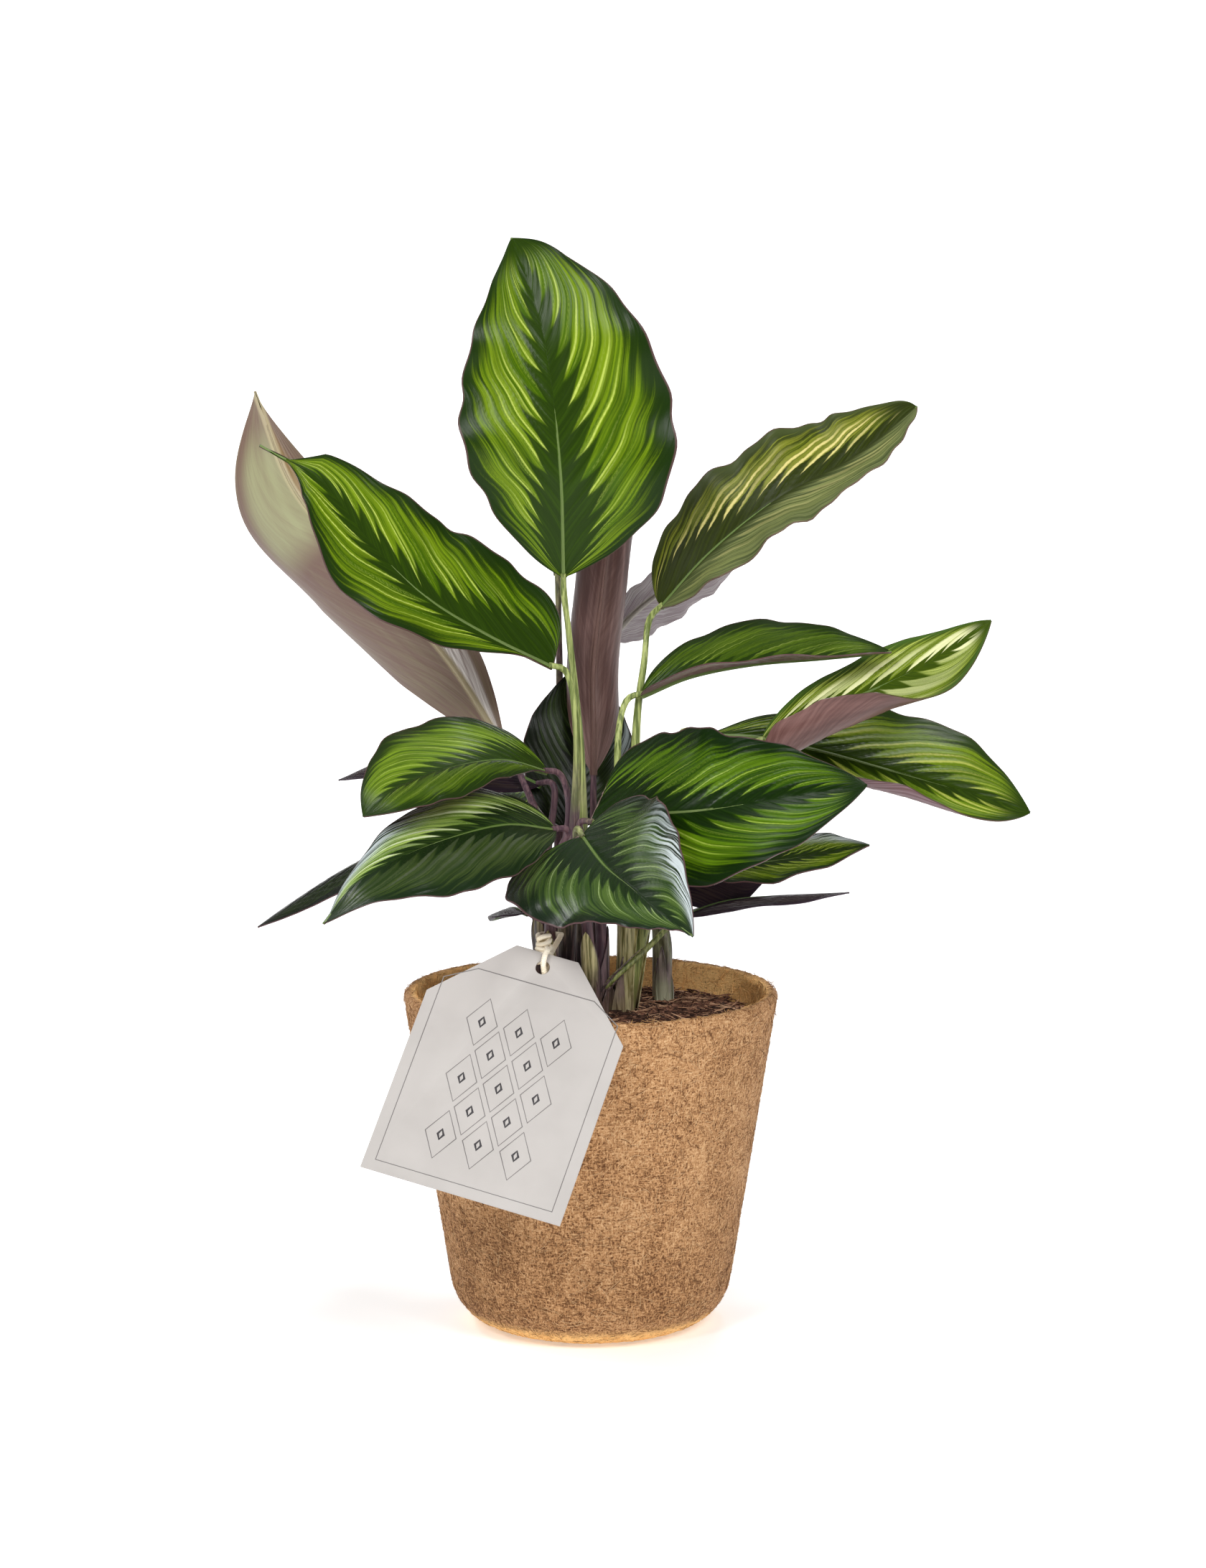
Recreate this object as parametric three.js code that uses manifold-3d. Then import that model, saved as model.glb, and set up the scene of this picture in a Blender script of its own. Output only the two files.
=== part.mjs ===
// Potted peacock calathea: a coir fibre pot, its root ball, seven leafy shoots and a gift tag on twine.
// Millimetres, +Z up. The origin is the centre of the pot's flat underside, and the front of the
// plant, where the tag hangs, faces -Y.

import * as THREE from "three";
import { mergeVertices } from "three/addons/utils/BufferGeometryUtils.js";
import Module from "manifold-3d";

const wasm = await Module();
wasm.setup();

// Driving dimensions

const GAP = 0.3; // clearance between pieces that touch

const POT = {
  height: 126.5,
  rimRadius: 70,
  footRadius: 50,
  cornerRadius: 20,
  cornerSteps: 4,
  wall: 4.5,
  sides: 40,
};
const WALL_ANGLE = Math.atan2(POT.rimRadius - POT.footRadius, POT.height);

const SOIL = { edge: 114, crown: 4, lump: 0.9, rings: 6, holeDepth: 16 };

const BLADE = {
  thickness: 0.8,
  baseHalf: 1.3, // half-width where the stalk meets the blade
  tipHalf: 0.5,
  grid: { rows: 12, columns: 8 },
  coarseGrid: { rows: 9, columns: 6 },
};

// Common outline of a blade: how far along each half is widest, a base that is rounder the lower its
// number, and a tip that is more pointed the higher its number
const PLAIN_SHAPE = { widest: [0.42, 0.42], baseRound: [0.55, 0.55], tipPoint: [0.85, 0.85] };

const STALK = { blade: 1.5, sheath: 3.6, sheathEnd: 0.6, sides: 6, steps: 9, lead: 7 };

// The clasping leaf bases that each shoot is made of at the soil; top is its share of the foot's radius
const SHEATHS = { height: 15, top: 0.6, steps: 4, sides: 14 };

const TAG = {
  width: 74.5,
  height: 95,
  shoulder: 79.5, // height of the clipped corners above the lower edge
  topWidth: 23.5,
  thickness: 0.8,
  holeRadius: 2.6,
  holeDrop: 5.5, // from the top edge to the middle of the hole
  hole: [-17, -57, 144.8],
  turn: -6, // degrees about the upright axis
  lean: 32, // degrees from upright, top edge back over the rim
  roll: 15.5, // degrees in its own plane
};

const TWINE = { radius: 0.9, sides: 6, steps: 60 };

// Each shoot stands in its own hole in the soil. The foot is its place there.
const SHOOTS = {
  left: { foot: [-14, 0.5], radius: 7.5, colour: 0x8d9a63 },
  front_left: { foot: [-15, -13], radius: 4.2, colour: 0x93a06c },
  centre: { foot: [0, 13], radius: 7, colour: 0x93a06c },
  right: { foot: [15, 1], radius: 7, colour: 0x93a06c },
  front: { foot: [2, -14], radius: 5.5, colour: 0x9aa56a },
  back: { foot: [-14, 19], radius: 7, colour: 0x7c8757 },
  side: { foot: [27, 20], radius: 6, colour: 0x7c6270 },
};

// Each leaf: the midrib from base to tip, the way its upper face looks at base and tip, its two
// half-widths, how each half is folded up (degrees at the midrib) and curled (degrees across it),
// the wave of its margins, and the bends of its stalk on the way up from the soil.
const LEAVES = [
  {
    name: "leaf_top",
    shoot: "centre",
    midrib: [[-10, 4, 280], [-11, -4, 320], [-16, -2, 363], [-24, 6, 392], [-29, 12, 404]],
    face: [[-0.1, -1, 0.2], [-0.15, -1, 0.35]],
    half: [35, 44],
    shape: { widest: [0.46, 0.4], baseRound: [0.85, 0.85], tipPoint: [0.9, 0.9] },
    left: { fold: 8, curl: 10 },
    right: { fold: 4, curl: 6 },
    wave: { height: 2.5, count: 3, frill: 0.04 },
    stalk: [[-3, 10, 165], [-4, 9, 215], [-8, 7, 258]],
  },
  {
    name: "leaf_upper_right",
    shoot: "right",
    midrib: [[26, 14, 268], [44, 4, 289], [68, -4, 309], [96, -8, 325], [119, -6, 343]],
    face: [[-0.45, -0.65, 0.6], [-0.45, -0.7, 0.6]],
    half: [32, 26],
    shape: { widest: [0.34, 0.42], baseRound: [0.36, 0.8], tipPoint: [0.5, 0.6] },
    left: { fold: 2, curl: -6 },
    right: { fold: 16, curl: 0 },
    wave: { height: 2, count: 4, frill: 0.05 },
    stalk: [[15, 5, 160], [17, 11, 222], [20, 13, 248]],
  },
  {
    name: "leaf_upper_left",
    shoot: "left",
    midrib: [
      [-14, -8, 248], [-34, -18, 265], [-54, -28, 282],
      [-73, -36, 302], [-93, -42, 321], [-117, -48, 331],
    ],
    face: [[0.39, -0.77, 0.51], [0.3, -0.8, 0.5]],
    half: [29, 26],
    shape: { widest: [0.62, 0.17], baseRound: [1.3, 0.42], tipPoint: [1, 1.5] },
    left: { fold: 6, curl: -10 },
    right: { fold: 6, curl: 0 },
    wave: { height: 1.6, count: 3, frill: 0.04 },
    stalk: [[-9, -3, 150], [-6, -4, 190], [-5, -6, 220]],
  },
  {
    name: "leaf_rolled_left",
    shoot: "left",
    midrib: [[-31, 25, 211], [-55, 32, 248], [-86, 38, 281], [-112, 40, 310], [-127, 46, 347]],
    face: [[-0.2, 0.95, 0.2], [-0.3, 0.95, 0.1]],
    half: [25, 31],
    shape: { widest: [0.66, 0.62], baseRound: [1.2, 1.25], tipPoint: [1.2, 0.8] },
    left: { fold: 10, curl: 90 },
    right: { fold: 10, curl: 80 },
    wave: { height: 0.5, count: 2, frill: 0.02 },
    stalk: [[-15, 3, 150], [-17, 8, 180]],
  },
  {
    name: "leaf_rolled_centre",
    shoot: "centre",
    midrib: [[1, 22, 216], [1, 26, 245], [4, 26, 271], [7, 28, 295], [12, 32, 318]],
    face: [[0, 1, 0], [-0.1, 1, 0]],
    half: [30, 30],
    shape: { widest: [0.65, 0.65], baseRound: [1.8, 1.8], tipPoint: [0.6, 0.6] },
    left: { fold: 10, curl: 130 },
    right: { fold: 10, curl: 130 },
    wave: { height: 0.5, count: 2, frill: 0.02 },
    stalk: [[1, 16, 160], [1, 20, 195]],
  },
  {
    name: "leaf_left_shoulder",
    shoot: "left",
    midrib: [[-16, -6, 209], [-32, -20, 215], [-52, -36, 214], [-70, -48, 208], [-81, -54, 199]],
    face: [[0.1, -0.5, 0.85], [-0.5, -0.5, 0.7]],
    half: [17, 33],
    shape: { widest: [0.72, 0.48], baseRound: [1, 0.42], tipPoint: [0.6, 0.85] },
    left: { fold: 15, curl: -50 },
    right: { fold: 6, curl: -10 },
    wave: { height: 1, count: 3, frill: 0.03 },
    stalk: [[-14, -1, 160], [-13, -2, 195]],
  },
  {
    name: "leaf_behind_left",
    shoot: "back",
    coarse: true,
    midrib: [[-19, 24, 200], [-46, 44, 208], [-77, 58, 205], [-98, 66, 196]],
    face: [[0, -0.2, 1], [-0.2, 0, 1]],
    half: [18, 18],
    left: { fold: -15, curl: -20 },
    right: { fold: -15, curl: -20 },
    wave: { height: 1, count: 2, frill: 0.02 },
    stalk: [[-18, 21, 160]],
  },
  {
    name: "leaf_lower_left",
    shoot: "front_left",
    midrib: [
      [-13, -17, 189], [-31, -33, 193], [-52, -49, 190],
      [-70, -61, 184], [-84, -69, 176], [-94, -76, 164],
    ],
    face: [[0.1, -0.5, 0.85], [-0.4, -0.6, 0.7]],
    half: [25, 23],
    shape: { widest: [0.45, 0.3], baseRound: [0.75, 0.5], tipPoint: [0.9, 1.6] },
    left: { fold: 0, curl: -30 },
    right: { fold: 14, curl: -20 },
    wave: { height: 1, count: 3, frill: 0.03 },
    stalk: [[-15, -13, 150], [-13, -11, 176]],
  },
  {
    name: "leaf_low_left_back",
    shoot: "back",
    coarse: true,
    midrib: [[-28, 14, 180], [-57, 20, 184], [-93, 28, 167], [-127, 32, 144]],
    face: [[0, -0.2, 1], [-0.3, -0.2, 1]],
    half: [16, 16],
    left: { fold: -10, curl: -20 },
    right: { fold: -10, curl: -20 },
    wave: { height: 0.8, count: 2, frill: 0.02 },
    stalk: [[-18, 20, 150], [-23, 17, 168]],
  },
  {
    name: "leaf_front",
    shoot: "front",
    midrib: [[-3, -26, 188], [5, -50, 181], [14, -67, 176], [24, -82, 170], [36, -95, 163]],
    face: [[-0.2, -0.55, 0.8], [-0.15, -0.75, 0.65]],
    half: [31, 36],
    shape: { widest: [0.36, 0.2], baseRound: [0.5, 0.42], tipPoint: [0.8, 1.5] },
    left: { fold: 34, curl: -6 },
    right: { fold: 4, curl: -14 },
    wave: { height: 1.5, count: 3, frill: 0.03 },
    stalk: [[-1, -17, 150], [-5, -19, 178]],
  },
  {
    name: "leaf_middle_right",
    shoot: "front",
    midrib: [[0, -12, 191], [19, -34, 197], [41, -50, 201], [69, -60, 207], [98, -66, 212]],
    face: [[-0.05, -0.75, 0.65], [-0.05, -0.7, 0.7]],
    half: [36, 30],
    shape: { widest: [0.24, 0.42], baseRound: [0.15, 0.5], tipPoint: [0.8, 0.8] },
    left: { fold: 6, curl: 6 },
    right: { fold: -20, curl: -16 },
    wave: { height: 1.6, count: 3, frill: 0.03 },
    stalk: [[4, -11, 150], [0, -9, 176]],
  },
  {
    name: "leaf_far_right",
    shoot: "right",
    midrib: [
      [40, 14, 220], [62, 18, 219], [86, 16, 214],
      [115, 10, 206.5], [140, 4, 200], [163, -2, 193],
    ],
    face: [[0, -0.6, 0.8], [0.2, -0.6, 0.75]],
    half: [33, 25],
    shape: { widest: [0.6, 0.45], baseRound: [1.7, 0.7], tipPoint: [0.9, 1] },
    left: { fold: 4, curl: -10 },
    right: { fold: -45, curl: 160 },
    wave: { height: 1.2, count: 3, frill: 0.04 },
    stalk: [[19, 5, 150], [26, 9, 190]],
  },
  {
    name: "leaf_folded_right",
    shoot: "right",
    midrib: [[63, -10, 221], [84, -12, 232], [105, -14, 241], [125, -16, 251], [146, -18, 266]],
    face: [[-0.3, -0.6, 0.75], [-0.35, -0.6, 0.7]],
    half: [18, 34],
    shape: { widest: [0.5, 0.55], baseRound: [0.7, 0.6], tipPoint: [0.8, 0.75] },
    left: { fold: 0, curl: 0 },
    right: { fold: [-60, -28, 0], curl: [240, 130, 10] },
    wave: { height: 0.8, count: 2, frill: 0.02 },
    stalk: [[20, 2, 150], [36, -3, 192]],
  },
  {
    name: "leaf_arching_right",
    shoot: "right",
    midrib: [[19, 6, 237], [37, 0, 247], [60, -6, 253], [85, -12, 255], [110, -16, 255]],
    face: [[-0.2, -0.25, 0.95], [0.1, -0.3, 0.95]],
    half: [24, 15],
    left: { fold: 10, curl: -8 },
    right: { fold: -4, curl: -8 },
    wave: { height: 0.8, count: 3, frill: 0.03 },
    stalk: [[13, 0, 160], [10, 2, 212]],
  },
  {
    name: "leaf_behind_upper_right",
    shoot: "side",
    midrib: [[3, 54, 230], [13, 60, 253], [30, 64, 270], [47, 66, 281], [62, 66, 288]],
    face: [[-0.5, 0.8, 0.3], [-0.5, 0.8, 0.3]],
    half: [14, 24],
    left: { fold: 6, curl: 20 },
    right: { fold: 6, curl: 20 },
    wave: { height: 1.5, count: 4, frill: 0.06 },
    stalk: [[24, 28, 158], [14, 44, 200]],
  },
  {
    name: "leaf_back_centre",
    shoot: "centre",
    coarse: true,
    midrib: [[-3, 30, 196], [-4, 38, 219], [-4, 48, 243]],
    face: [[0, -0.9, 0.4], [0, -0.8, 0.6]],
    half: [21, 21],
    left: { fold: 6, curl: 0 },
    right: { fold: 6, curl: 0 },
    wave: { height: 1, count: 2, frill: 0.02 },
    stalk: [[-2, 21, 150]],
  },
  {
    name: "leaf_lower_right",
    shoot: "front",
    coarse: true,
    midrib: [[42, 10, 171], [60, 4, 173], [81, -4, 177], [103, -10, 182]],
    face: [[-0.1, -0.4, 0.9], [0, -0.4, 0.9]],
    half: [17, 13],
    left: { fold: 4, curl: 0 },
    right: { fold: 0, curl: -10 },
    wave: { height: 1, count: 3, frill: 0.03 },
    stalk: [[8, -13, 133], [21, -8, 143], [34, 1, 157]],
  },
  {
    name: "leaf_dark_right",
    shoot: "side",
    coarse: true,
    midrib: [[29, 30, 159], [44, 42, 164], [70, 58, 162]],
    face: [[0, -0.1, 1], [0.1, 0, 1]],
    half: [12, 12],
    left: { fold: -20, curl: -20 },
    right: { fold: -25, curl: -25 },
    wave: { height: 0.8, count: 2, frill: 0.02 },
    stalk: [[27, 25, 138]],
  },
  {
    name: "leaf_slender_right",
    shoot: "side",
    coarse: true,
    midrib: [[33, 27, 149], [56, 40, 153.5], [100, 58, 153]],
    face: [[0, 0, 1], [0, 0, 1]],
    half: [8, 8],
    left: { fold: -10, curl: -20 },
    right: { fold: -10, curl: -20 },
    wave: { height: 0.5, count: 2, frill: 0.02 },
    stalk: [[29, 22, 135]],
  },
  {
    name: "leaf_low_left_tip",
    shoot: "back",
    coarse: true,
    midrib: [[-24, 30, 150], [-31, 41, 150], [-38, 53, 143]],
    face: [[0, 0, 1], [-0.2, 0.2, 1]],
    half: [9, 9],
    left: { fold: -10, curl: -10 },
    right: { fold: -10, curl: -10 },
    wave: { height: 0.5, count: 2, frill: 0.02 },
    stalk: [[-17, 23, 136]],
  },
  {
    name: "leaf_back_right",
    shoot: "side",
    midrib: [[26, 40, 188], [40, 66, 196], [58, 92, 188], [70, 106, 174]],
    face: [[-0.1, -0.2, 1], [0.3, 0.4, 0.9]],
    half: [27, 27],
    left: { fold: -6, curl: -10 },
    right: { fold: -6, curl: -10 },
    wave: { height: 1.5, count: 3, frill: 0.04 },
    stalk: [[27, 28, 150]],
  },
  {
    name: "leaf_back_left",
    shoot: "back",
    midrib: [[-28, 44, 186], [-38, 66, 193], [-50, 90, 188], [-62, 104, 176]],
    face: [[0.1, -0.1, 1], [-0.3, 0.4, 0.9]],
    half: [26, 26],
    left: { fold: -6, curl: -10 },
    right: { fold: -6, curl: -10 },
    wave: { height: 1.5, count: 3, frill: 0.04 },
    stalk: [[-21, 28, 155]],
  },
  {
    name: "leaf_back_top",
    shoot: "back",
    midrib: [[-13, 62, 276], [-15, 74, 306], [-20, 84, 334], [-22, 92, 354]],
    face: [[0, -0.8, 0.5], [0, -0.7, 0.6]],
    half: [21, 21],
    shape: { widest: [0.5, 0.5], baseRound: [1, 1], tipPoint: [0.85, 0.85] },
    left: { fold: 6, curl: 6 },
    right: { fold: 6, curl: 6 },
    wave: { height: 1.5, count: 3, frill: 0.04 },
    stalk: [[-12, 34, 165], [-12, 52, 225]],
  },
];

// Small helpers

const radians = THREE.MathUtils.degToRad;
const vector = (place) => new THREE.Vector3(...place);

// A single number, or a list of numbers spread evenly from base to tip
function ramp(value, t) {
  if (!Array.isArray(value)) return value;
  const place = t * (value.length - 1);
  const first = Math.min(Math.floor(place), value.length - 2);
  return THREE.MathUtils.lerp(value[first], value[first + 1], place - first);
}

function curveThrough(points, closed = false) {
  return new THREE.CatmullRomCurve3(points, closed, "catmullrom", 0.5);
}

function closedMesh(positions, triangles) {
  const geometry = new THREE.BufferGeometry();
  geometry.setAttribute("position", new THREE.Float32BufferAttribute(positions, 3));
  geometry.setIndex(triangles);
  return geometry;
}

function toSolid(geometry) {
  const bare = geometry.clone();
  bare.deleteAttribute("normal");
  bare.deleteAttribute("uv");
  const merged = mergeVertices(bare, 1e-3);
  const index = merged.index.array;
  const kept = [];
  for (let i = 0; i < index.length; i += 3) {
    const [a, b, c] = [index[i], index[i + 1], index[i + 2]];
    if (a !== b && b !== c && c !== a) kept.push(a, b, c);
  }
  const vertProperties = new Float32Array(merged.attributes.position.array);
  return new wasm.Manifold(new wasm.Mesh({ numProp: 3, vertProperties, triVerts: new Uint32Array(kept) }));
}

function toGeometry(solid) {
  const { vertProperties, triVerts } = solid.getMesh();
  return closedMesh(Array.from(vertProperties), Array.from(triVerts));
}

// A round stem, or any other tube, through a list of points with a radius that varies along it
function taperedTube(curve, radiusAt, steps, sides) {
  const positions = [];
  const triangles = [];
  let across = null;
  for (let i = 0; i <= steps; i += 1) {
    const t = i / steps;
    const centre = curve.getPointAt(t);
    const along = curve.getTangentAt(t);
    if (!across) across = new THREE.Vector3(0, 1, 0).cross(along).normalize();
    across = across.clone().addScaledVector(along, -across.dot(along)).normalize();
    const other = along.clone().cross(across);
    for (let k = 0; k < sides; k += 1) {
      const angle = (2 * Math.PI * k) / sides;
      const spot = centre.clone()
        .addScaledVector(across, radiusAt(t) * Math.cos(angle))
        .addScaledVector(other, radiusAt(t) * Math.sin(angle));
      positions.push(...spot.toArray());
    }
  }
  for (let i = 0; i < steps; i += 1) {
    for (let k = 0; k < sides; k += 1) {
      const [a, b] = [i * sides + k, i * sides + ((k + 1) % sides)];
      triangles.push(a, b, b + sides, a, b + sides, a + sides);
    }
  }
  const last = steps * sides;
  for (let k = 1; k < sides - 1; k += 1) {
    triangles.push(0, k + 1, k, last, last + k, last + k + 1);
  }
  return closedMesh(positions, triangles);
}

// Pot and soil

// Half outline of the pot at a depth inside its outer face, from the axis up to a height
function cupOutline(inset, top) {
  const { footRadius, cornerRadius } = POT;
  const rise = (1 - Math.sin(WALL_ANGLE)) / Math.cos(WALL_ANGLE);
  const centre = new THREE.Vector2(footRadius - cornerRadius * rise, cornerRadius);
  const corner = [];
  for (let i = 0; i <= POT.cornerSteps; i += 1) {
    const angle = THREE.MathUtils.lerp(-Math.PI / 2, -WALL_ANGLE, i / POT.cornerSteps);
    const reach = cornerRadius - inset;
    corner.push(new THREE.Vector2(centre.x + reach * Math.cos(angle), centre.y + reach * Math.sin(angle)));
  }
  const topRadius = footRadius + top * Math.tan(WALL_ANGLE) - inset / Math.cos(WALL_ANGLE);
  return [new THREE.Vector2(0, inset), ...corner, new THREE.Vector2(topRadius, top)];
}

function potGeometry() {
  const lipRadius = POT.wall / 2;
  const lipBase = POT.height - lipRadius;
  const outer = cupOutline(0, lipBase);
  const inner = cupOutline(POT.wall, lipBase);
  const lipCentre = (outer.at(-1).x + inner.at(-1).x) / 2;
  const lipHalf = outer.at(-1).x - lipCentre;
  const lip = [45, 90, 135].map((angle) => new THREE.Vector2(
    lipCentre + lipHalf * Math.cos(radians(angle)),
    lipBase + lipRadius * Math.sin(radians(angle)),
  ));
  const geometry = new THREE.LatheGeometry([...outer, ...lip, ...inner.reverse()], POT.sides);
  return geometry.rotateX(Math.PI / 2);
}

// Height of the loose surface of the soil: a low crown with small lumps
function soilHeight(x, y) {
  const reach = Math.hypot(x, y) / POT.rimRadius;
  const lumps = Math.sin(0.31 * x + 1.3) * Math.cos(0.27 * y + 0.4) + 0.6 * Math.sin(0.55 * x - 0.42 * y);
  return SOIL.edge + SOIL.crown * (1 - reach * reach) + SOIL.lump * lumps;
}

function soilGeometry() {
  const wall = cupOutline(POT.wall + GAP, SOIL.edge);
  const edge = wall.at(-1).x;
  const surface = [];
  for (let i = SOIL.rings - 1; i >= 0; i -= 1) {
    surface.push(new THREE.Vector2((edge * i) / SOIL.rings, SOIL.edge + 1));
  }
  const geometry = new THREE.LatheGeometry([...wall, ...surface], POT.sides).rotateX(Math.PI / 2);
  const spots = geometry.attributes.position;
  for (let i = 0; i < spots.count; i += 1) {
    if (spots.getZ(i) > SOIL.edge + 0.5) spots.setZ(i, soilHeight(spots.getX(i), spots.getY(i)));
  }
  let soil = toSolid(geometry);
  for (const shoot of Object.values(SHOOTS)) {
    const radius = shoot.radius + GAP;
    const hole = new THREE.CylinderGeometry(radius, radius, 4 * SOIL.holeDepth, 20).rotateX(Math.PI / 2);
    hole.translate(...shoot.foot, SOIL.edge + SOIL.holeDepth);
    soil = soil.subtract(toSolid(hole));
  }
  return toGeometry(soil);
}

// Leaves

// Half-width of a blade as a share of its greatest, at t from base to tip
function bladeOutline(shape, half, t) {
  const widest = shape.widest[half];
  if (t < widest) return (1 - (1 - t / widest) ** 2) ** shape.baseRound[half];
  return Math.max(0, Math.cos((Math.PI / 2) * ((t - widest) / (1 - widest)))) ** shape.tipPoint[half];
}

// Point of a blade's middle surface at t from base to tip and s from left margin (-1) to right (1)
function bladePoint(leaf, curve, t, s) {
  const along = curve.getTangentAt(t);
  const up = vector(leaf.face[0]).lerp(vector(leaf.face[1]), t);
  up.addScaledVector(along, -up.dot(along)).normalize();
  const rightward = along.clone().cross(up);

  const which = s < 0 ? 0 : 1;
  const half = leaf.half[which];
  const { height, count, frill } = leaf.wave;
  const phase = 2 * Math.PI * (count * t + 0.35 * which);
  const scallop = 1 + frill * Math.sin(2.3 * phase);
  const stub = THREE.MathUtils.lerp(BLADE.baseHalf, BLADE.tipHalf, t);
  const width = Math.max(stub, half * scallop * bladeOutline(leaf.shape ?? PLAIN_SHAPE, which, t));
  const reach = Math.abs(s) * width;

  const side = s < 0 ? leaf.left : leaf.right;
  const fold = radians(ramp(side.fold, t));
  const bend = radians(ramp(side.curl, t)) / half;
  const end = fold + bend * reach;
  const straight = Math.abs(bend) < 1e-5;
  const out = straight ? reach * Math.cos(fold) : (Math.sin(end) - Math.sin(fold)) / bend;
  const rise = straight ? reach * Math.sin(fold) : (Math.cos(fold) - Math.cos(end)) / bend;

  const ripple = height * s * s * Math.sin(phase) * Math.sin(Math.PI * t);
  return curve.getPointAt(t)
    .addScaledVector(rightward, Math.sign(s) * out)
    .addScaledVector(up, rise + ripple);
}

// A blade is a grid of points with the same split into triangles on its upper and lower face
function bladeGeometry(leaf) {
  const { rows, columns } = leaf.coarse ? BLADE.coarseGrid : BLADE.grid;
  const curve = curveThrough(leaf.midrib.map(vector));
  const upper = [];
  const lower = [];
  const step = 0.01;
  for (let i = 0; i <= rows; i += 1) {
    const t = 0.5 - 0.5 * Math.cos((Math.PI * i) / rows);
    for (let j = 0; j <= columns; j += 1) {
      const s = (2 * j) / columns - 1;
      const point = bladePoint(leaf, curve, t, s);
      const [ta, tb] = [Math.max(0, t - step), Math.min(1, t + step)];
      const [sa, sb] = [Math.max(-1, s - step), Math.min(1, s + step)];
      const along = bladePoint(leaf, curve, tb, s).sub(bladePoint(leaf, curve, ta, s));
      const across = bladePoint(leaf, curve, t, sb).sub(bladePoint(leaf, curve, t, sa));
      const normal = across.cross(along).normalize();
      upper.push(...point.clone().addScaledVector(normal, BLADE.thickness / 2).toArray());
      lower.push(...point.clone().addScaledVector(normal, -BLADE.thickness / 2).toArray());
    }
  }
  const width = columns + 1;
  const below = (rows + 1) * width;
  const triangles = [];
  for (let i = 0; i < rows; i += 1) {
    for (let j = 0; j < columns; j += 1) {
      const a = i * width + j;
      const [b, c, d] = [a + 1, a + width + 1, a + width];
      const pair = j < columns / 2 ? [[a, b, d], [b, c, d]] : [[a, b, c], [a, c, d]];
      for (const [p, q, r] of pair) triangles.push(p, q, r, below + p, below + r, below + q);
    }
  }
  const wallAlong = (p, q) => triangles.push(p, below + p, below + q, p, below + q, q);
  for (let j = 0; j < columns; j += 1) {
    wallAlong(j, j + 1);
    wallAlong(rows * width + j + 1, rows * width + j);
  }
  for (let i = 0; i < rows; i += 1) {
    wallAlong((i + 1) * width, i * width);
    wallAlong(i * width + columns, (i + 1) * width + columns);
  }
  return closedMesh([...upper, ...lower], triangles);
}

// A stalk climbs from the shoot's foot, through its bends, and meets the blade end to end
function stalkGeometry(leaf, shoot) {
  const base = vector(leaf.midrib[0]);
  const along = curveThrough(leaf.midrib.map(vector)).getTangentAt(0);
  const bends = leaf.stalk.map(vector);
  const foot = new THREE.Vector3(...shoot.foot, SOIL.edge);
  const outward = bends[0].clone().sub(foot).setZ(0);
  outward.clampLength(0, shoot.radius - STALK.sheath - 0.4);
  foot.add(outward);
  const lead = base.clone().addScaledVector(along, -STALK.lead);
  const end = base.clone().addScaledVector(along, -GAP);
  const curve = curveThrough([foot, ...bends, lead, end]);
  const radiusAt = (t) => {
    const sheath = Math.max(0, 1 - t / STALK.sheathEnd);
    return STALK.blade + (STALK.sheath - STALK.blade) * sheath ** 0.7;
  };
  return taperedTube(curve, radiusAt, STALK.steps, STALK.sides);
}

function shootGeometry(name) {
  const shoot = SHOOTS[name];
  const low = SOIL.edge - SOIL.holeDepth + 2;
  const crown = soilHeight(...shoot.foot) + SHEATHS.height;
  const middle = new THREE.Vector3(...shoot.foot, (low + crown) / 2);
  const axis = curveThrough([middle.clone().setZ(low), middle, middle.clone().setZ(crown)]);
  const footRadius = (t) => shoot.radius * (1 - (1 - SHEATHS.top) * Math.max(0, 2 * t - 1));
  let solid = toSolid(taperedTube(axis, footRadius, SHEATHS.steps, SHEATHS.sides));
  for (const leaf of LEAVES.filter((each) => each.shoot === name)) {
    solid = solid.add(toSolid(stalkGeometry(leaf, shoot)));
  }
  return toGeometry(solid);
}

// Gift tag and its twine

function tagGeometry() {
  const { width, height, shoulder, topWidth, thickness, holeRadius, holeDrop } = TAG;
  const outline = new THREE.Shape();
  const bottom = holeDrop - height;
  outline.moveTo(-width / 2, bottom);
  outline.lineTo(width / 2, bottom);
  outline.lineTo(width / 2, bottom + shoulder);
  outline.lineTo(topWidth / 2, holeDrop);
  outline.lineTo(-topWidth / 2, holeDrop);
  outline.lineTo(-width / 2, bottom + shoulder);
  outline.closePath();
  outline.holes.push(new THREE.Path().absarc(0, 0, holeRadius, 0, 2 * Math.PI, true));
  const settings = { depth: thickness, bevelEnabled: false, curveSegments: 12 };
  const geometry = new THREE.ExtrudeGeometry(outline, settings);
  return geometry.translate(0, 0, -thickness / 2);
}

function tagFrame() {
  const frame = new THREE.Object3D();
  frame.position.set(...TAG.hole);
  frame.rotation.order = "ZXY";
  frame.rotation.set(radians(90 - TAG.lean), 0, radians(TAG.turn));
  frame.rotateZ(radians(-TAG.roll));
  frame.updateMatrixWorld(true);
  return frame;
}

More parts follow.
